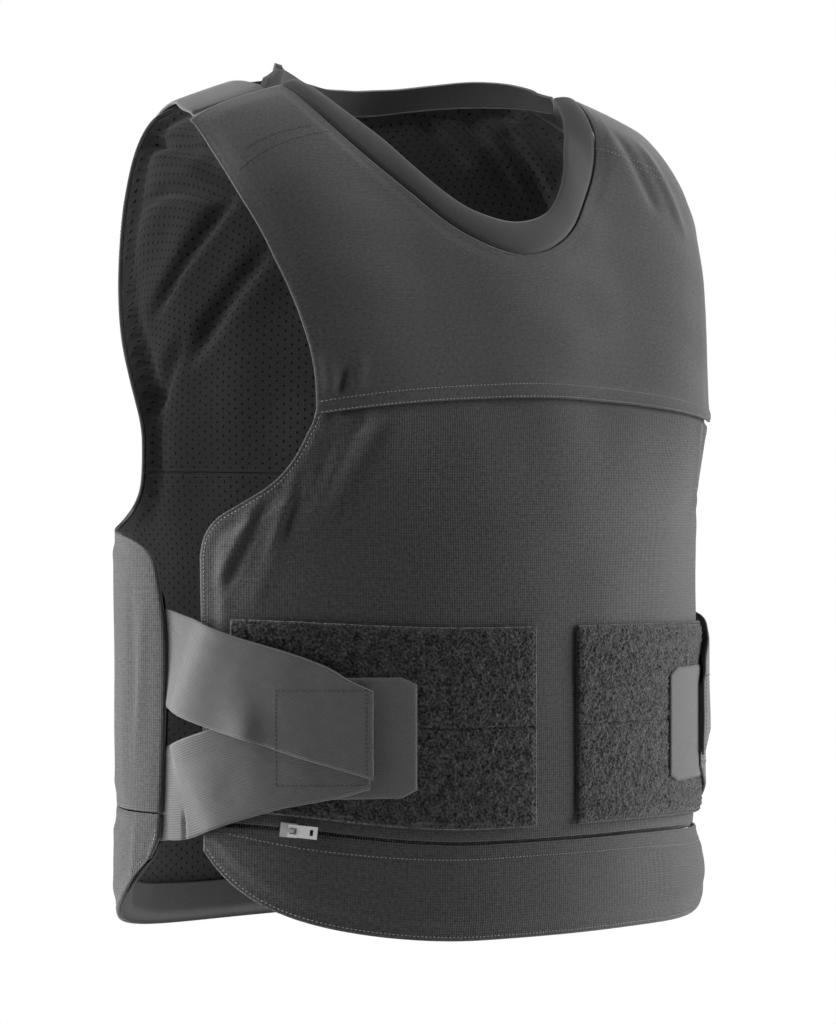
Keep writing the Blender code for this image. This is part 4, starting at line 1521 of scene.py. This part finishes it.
coil_turns = turn_of_arc(np.arange(arc(-COIL_END), arc(COIL_END), COIL_PITCH))
coil_places = on_form(coil_turns, ZIP_RISE, COIL_HEIGHT, pulled=True)
coil_runs = on_form(coil_turns + 0.2, ZIP_RISE, COIL_HEIGHT, pulled=True) - coil_places
coil_aways = outward(coil_turns, np.full(coil_turns.shape, ZIP_RISE))
coil_shape = bmesh.new()
for place, run, away in zip(coil_places, coil_runs, coil_aways):
    bead(coil_shape, Vector(place), Vector(run).normalized(), Vector(away), COIL_SIZE)
dress(mesh_piece("zip_coil", coil_shape), coil_nylon, "zip_tape")

# %% [markdown]
# ## Stitches
#
# Topstitching is what tells sewn cloth from moulded plastic, and on dark cloth the thread catches the
# light. Each stitch here is a small bead of thread. A ray cast straight down on the cloth from above
# the row finds where it lies, so rows follow every fold. The rows themselves are lines a machinist
# would chalk: so many mm inside an edge, or along a seam.

# %% Sewing
STITCH_PITCH = 2.3
STITCH_SIZE = (1.6, 0.55, 0.5)
STITCH_LIFT = 0.08
OUTSIDE, INSIDE = 16.0, -24.0
RAY_LENGTH = 0.05


def cloth_faces(pieces):
    """A search tree over the outer faces of some cloth pieces."""
    corners, faces = [], []
    for piece in pieces:
        start = len(corners)
        corners += [corner.co.copy() for corner in piece.data.vertices]
        faces += [[start + index for index in face.vertices] for face in piece.data.polygons]
    return BVHTree.FromPolygons(corners, faces)


def one_stitch_apart(turn, rise):
    """Turns and rises along a row, one stitch pitch apart."""
    length = length_to(on_form(turn, rise)) / MM
    stations = np.arange(STITCH_PITCH / 2.0, length[-1], STITCH_PITCH)
    return np.interp(stations, length, turn), np.interp(stations, length, rise)


def sew(name, pieces, rows, thread_finish, slot, pulled=False, inside=False):
    """Beads of thread along rows, each a pair of arrays: turns and rises."""
    tree = cloth_faces(pieces)
    shape = bmesh.new()
    away = INSIDE if inside else OUTSIDE
    for turn, rise in rows:
        turn, rise = one_stitch_apart(turn, rise)
        starts = on_form(turn, rise, away, pulled)
        ways = outward(turn, rise) * (1.0 if inside else -1.0)
        spots = []
        for start, way in zip(starts, ways):
            place, normal = tree.ray_cast(Vector(start), Vector(way), RAY_LENGTH)[:2]
            if place:
                spots.append((place, -normal if normal.dot(Vector(way)) > 0.0 else normal))
        for index, (place, normal) in enumerate(spots):
            run = spots[min(index + 1, len(spots) - 1)][0] - spots[max(index - 1, 0)][0]
            beside = normal.cross(run).normalized()
            bead(shape, place + normal * STITCH_LIFT * MM, beside.cross(normal), normal, STITCH_SIZE)
    dress(mesh_piece(name, shape), thread_finish, slot)


def inside_line(x, y, amount):
    """A line moved to its left by amount mm."""
    run_x, run_y = np.gradient(x), np.gradient(y)
    length = np.maximum(np.hypot(run_x, run_y), 1e-6)
    return x - amount * run_y / length, y + amount * run_x / length


def both_sides(rows):
    return rows + [(-turn, rise) for turn, rise in rows]


def ring_of(turns, rises):
    """The four sides of a box in turns and rises."""
    (left, right), (low, high) = turns, rises
    across, up = np.linspace(left, right, 40), np.linspace(low, high, 40)
    level = np.ones(40)
    return [(across, low * level), (across, high * level), (left * level, up), (right * level, up)]


# %% Stitches of the front
SEAM_ROW_RISES = (1.2, 9.6)

edge_x, edge_y = inside_line(arc(side_curve[1]), side_curve[0], STITCH_INSET)
on_panel = (edge_y > 56.0) & (edge_y < 281.0)
edge_rows = both_sides([(turn_of_arc(edge_x[on_panel]), edge_y[on_panel])])
sew("stitches_front_edge", [front], edge_rows, pale_thread, "charcoal_cloth", pulled=True)

seam_turns = np.linspace(-44.2, 44.2, 120)
seam_line = seam_arch(SEAM_SIDE, seam_turns / SEAM_TURN)
seam_rows = [(seam_turns, seam_line + above) for above in SEAM_ROW_RISES]
sew("stitches_chest_seam", [yoke], seam_rows, pale_thread, "charcoal_cloth")

hem_share = np.linspace(0.0, 0.996, 160)
hem_x, hem_y = inside_line(arc(hem_share * HEM_TURN), hem_line(hem_share), STITCH_INSET)
hem_rows = both_sides([(turn_of_arc(hem_x), hem_y)])
ZIP_ROW = (
    # turn, rise
    (-64, 46.8), (-60.5, 45.5), (-52.5, 43.2), (-41.2, 42.2), (0, 43.4), (46.8, 42), (64, 44.5),
)
zip_turns, zip_rises = through(ZIP_ROW, np.linspace(0.0, 1.0, 160))
sew("stitches_hem", [hem], hem_rows + [(zip_turns, zip_rises)], pale_thread, "charcoal_cloth", pulled=True)

# %% Stitches of the back
HEM_INSET = 2.6
LINING_SEAM_ROWS = (-2.0, 2.0)


def back_row(turn, rise, inset=STITCH_INSET):
    """A row inside an edge of the back."""
    x, y = inside_line(back_arc(turn), climb(rise), inset)
    return turn_of_back_arc(x), rise_of_climb(y)


def side_row(first, last, count):
    """A row inside the back's side, between two rows of its table."""
    return back_row(*through(BACK_ROWS, np.linspace(first, last, count) / BACK_LAST)[2:4])


sew("stitches_back_edge", [back], both_sides([side_row(8.5, 20.6, 300)]), pale_thread, "charcoal_cloth")
low_rows = [side_row(0.1, 1.95, 60), back_row(*hem_of_back(np.linspace(0.0, 0.98, 120)), HEM_INSET)]
sew("stitches_back_hem", [back_hem], both_sides(low_rows), pale_thread, "charcoal_cloth")

lining_turns = turn_of_back_arc(np.linspace(-185.0, 185.0, 300))
lining_rows = [(lining_turns, np.full(300, rise_of_climb(lining_seam + away))) for away in LINING_SEAM_ROWS]
sew("stitches_lining", [lining_low, lining_high], lining_rows, dark_thread, "perforated_lining", inside=True)

along = np.linspace(0.02, 0.98, 90)
facing_rows = [place_facing(side * along, np.full(90, up))[:2] for side in (-1.0, 1.0) for up in (0.1, 0.93)]
sew("stitches_facing", [facing], facing_rows, pale_thread, "band_cloth", inside=True)

# %% Stitches of straps, patches and shoulders
BOX_RISES = (84.5, 134.0)
RIGHT_BOX_TURNS = (-53.6, -37.0)
LEFT_BOX_TURNS = (49.6, 62.0)

patch_turns = (PATCH_TURNS[0] + 0.5, PATCH_TURNS[1] - 0.5)
patch_rises = (PATCH_RISES[0] + 1.2, PATCH_RISES[1] - 1.2)
patch_rows = both_sides(ring_of(patch_turns, patch_rises))
sew("stitches_patches", patches.values(), patch_rows, dark_thread, "loop_pile", pulled=True)

boxes = ring_of(RIGHT_BOX_TURNS, BOX_RISES) + ring_of(LEFT_BOX_TURNS, BOX_RISES)
sew("stitches_straps", [*straps.values(), *tabs.values()], boxes, dark_thread, "elastic")

SHOULDER_ROWS_RIGHT = (
    # turns, rises
    ((-51.5, -33.8), (456.5, 460.5)), ((-53.9, -31), (448.5, 457)),
)
SHOULDER_ROWS_LEFT = (
    # turns, rises
    ((27.4, 30.4, 36, 41.8, 49), (459, 456.5, 450, 445.5, 440.5)),
    ((31.4, 37, 42.8, 50), (459, 453, 448.5, 443.5)),
)
sew("stitches_shoulder_right", [yoke], SHOULDER_ROWS_RIGHT, dark_thread, "charcoal_cloth")
sew("stitches_shoulder_left", [yoke], SHOULDER_ROWS_LEFT, pale_thread, "charcoal_cloth")

# %% [markdown]
# ## Zip slider and pull tab
#
# The slider is the only hard moving part. Its solid is already right in size, so it and the pull tab
# keep the frame's shape and only get their metal.

# %% Slider and pull
METALS = (("zip_slider", slider_metal, "slider_metal"), ("zip_pull", pull_metal, "pull_metal"))
for name, metal, slot in METALS:
    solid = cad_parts[name]
    solid.data.materials.clear()
    solid.data.materials.append(metal)
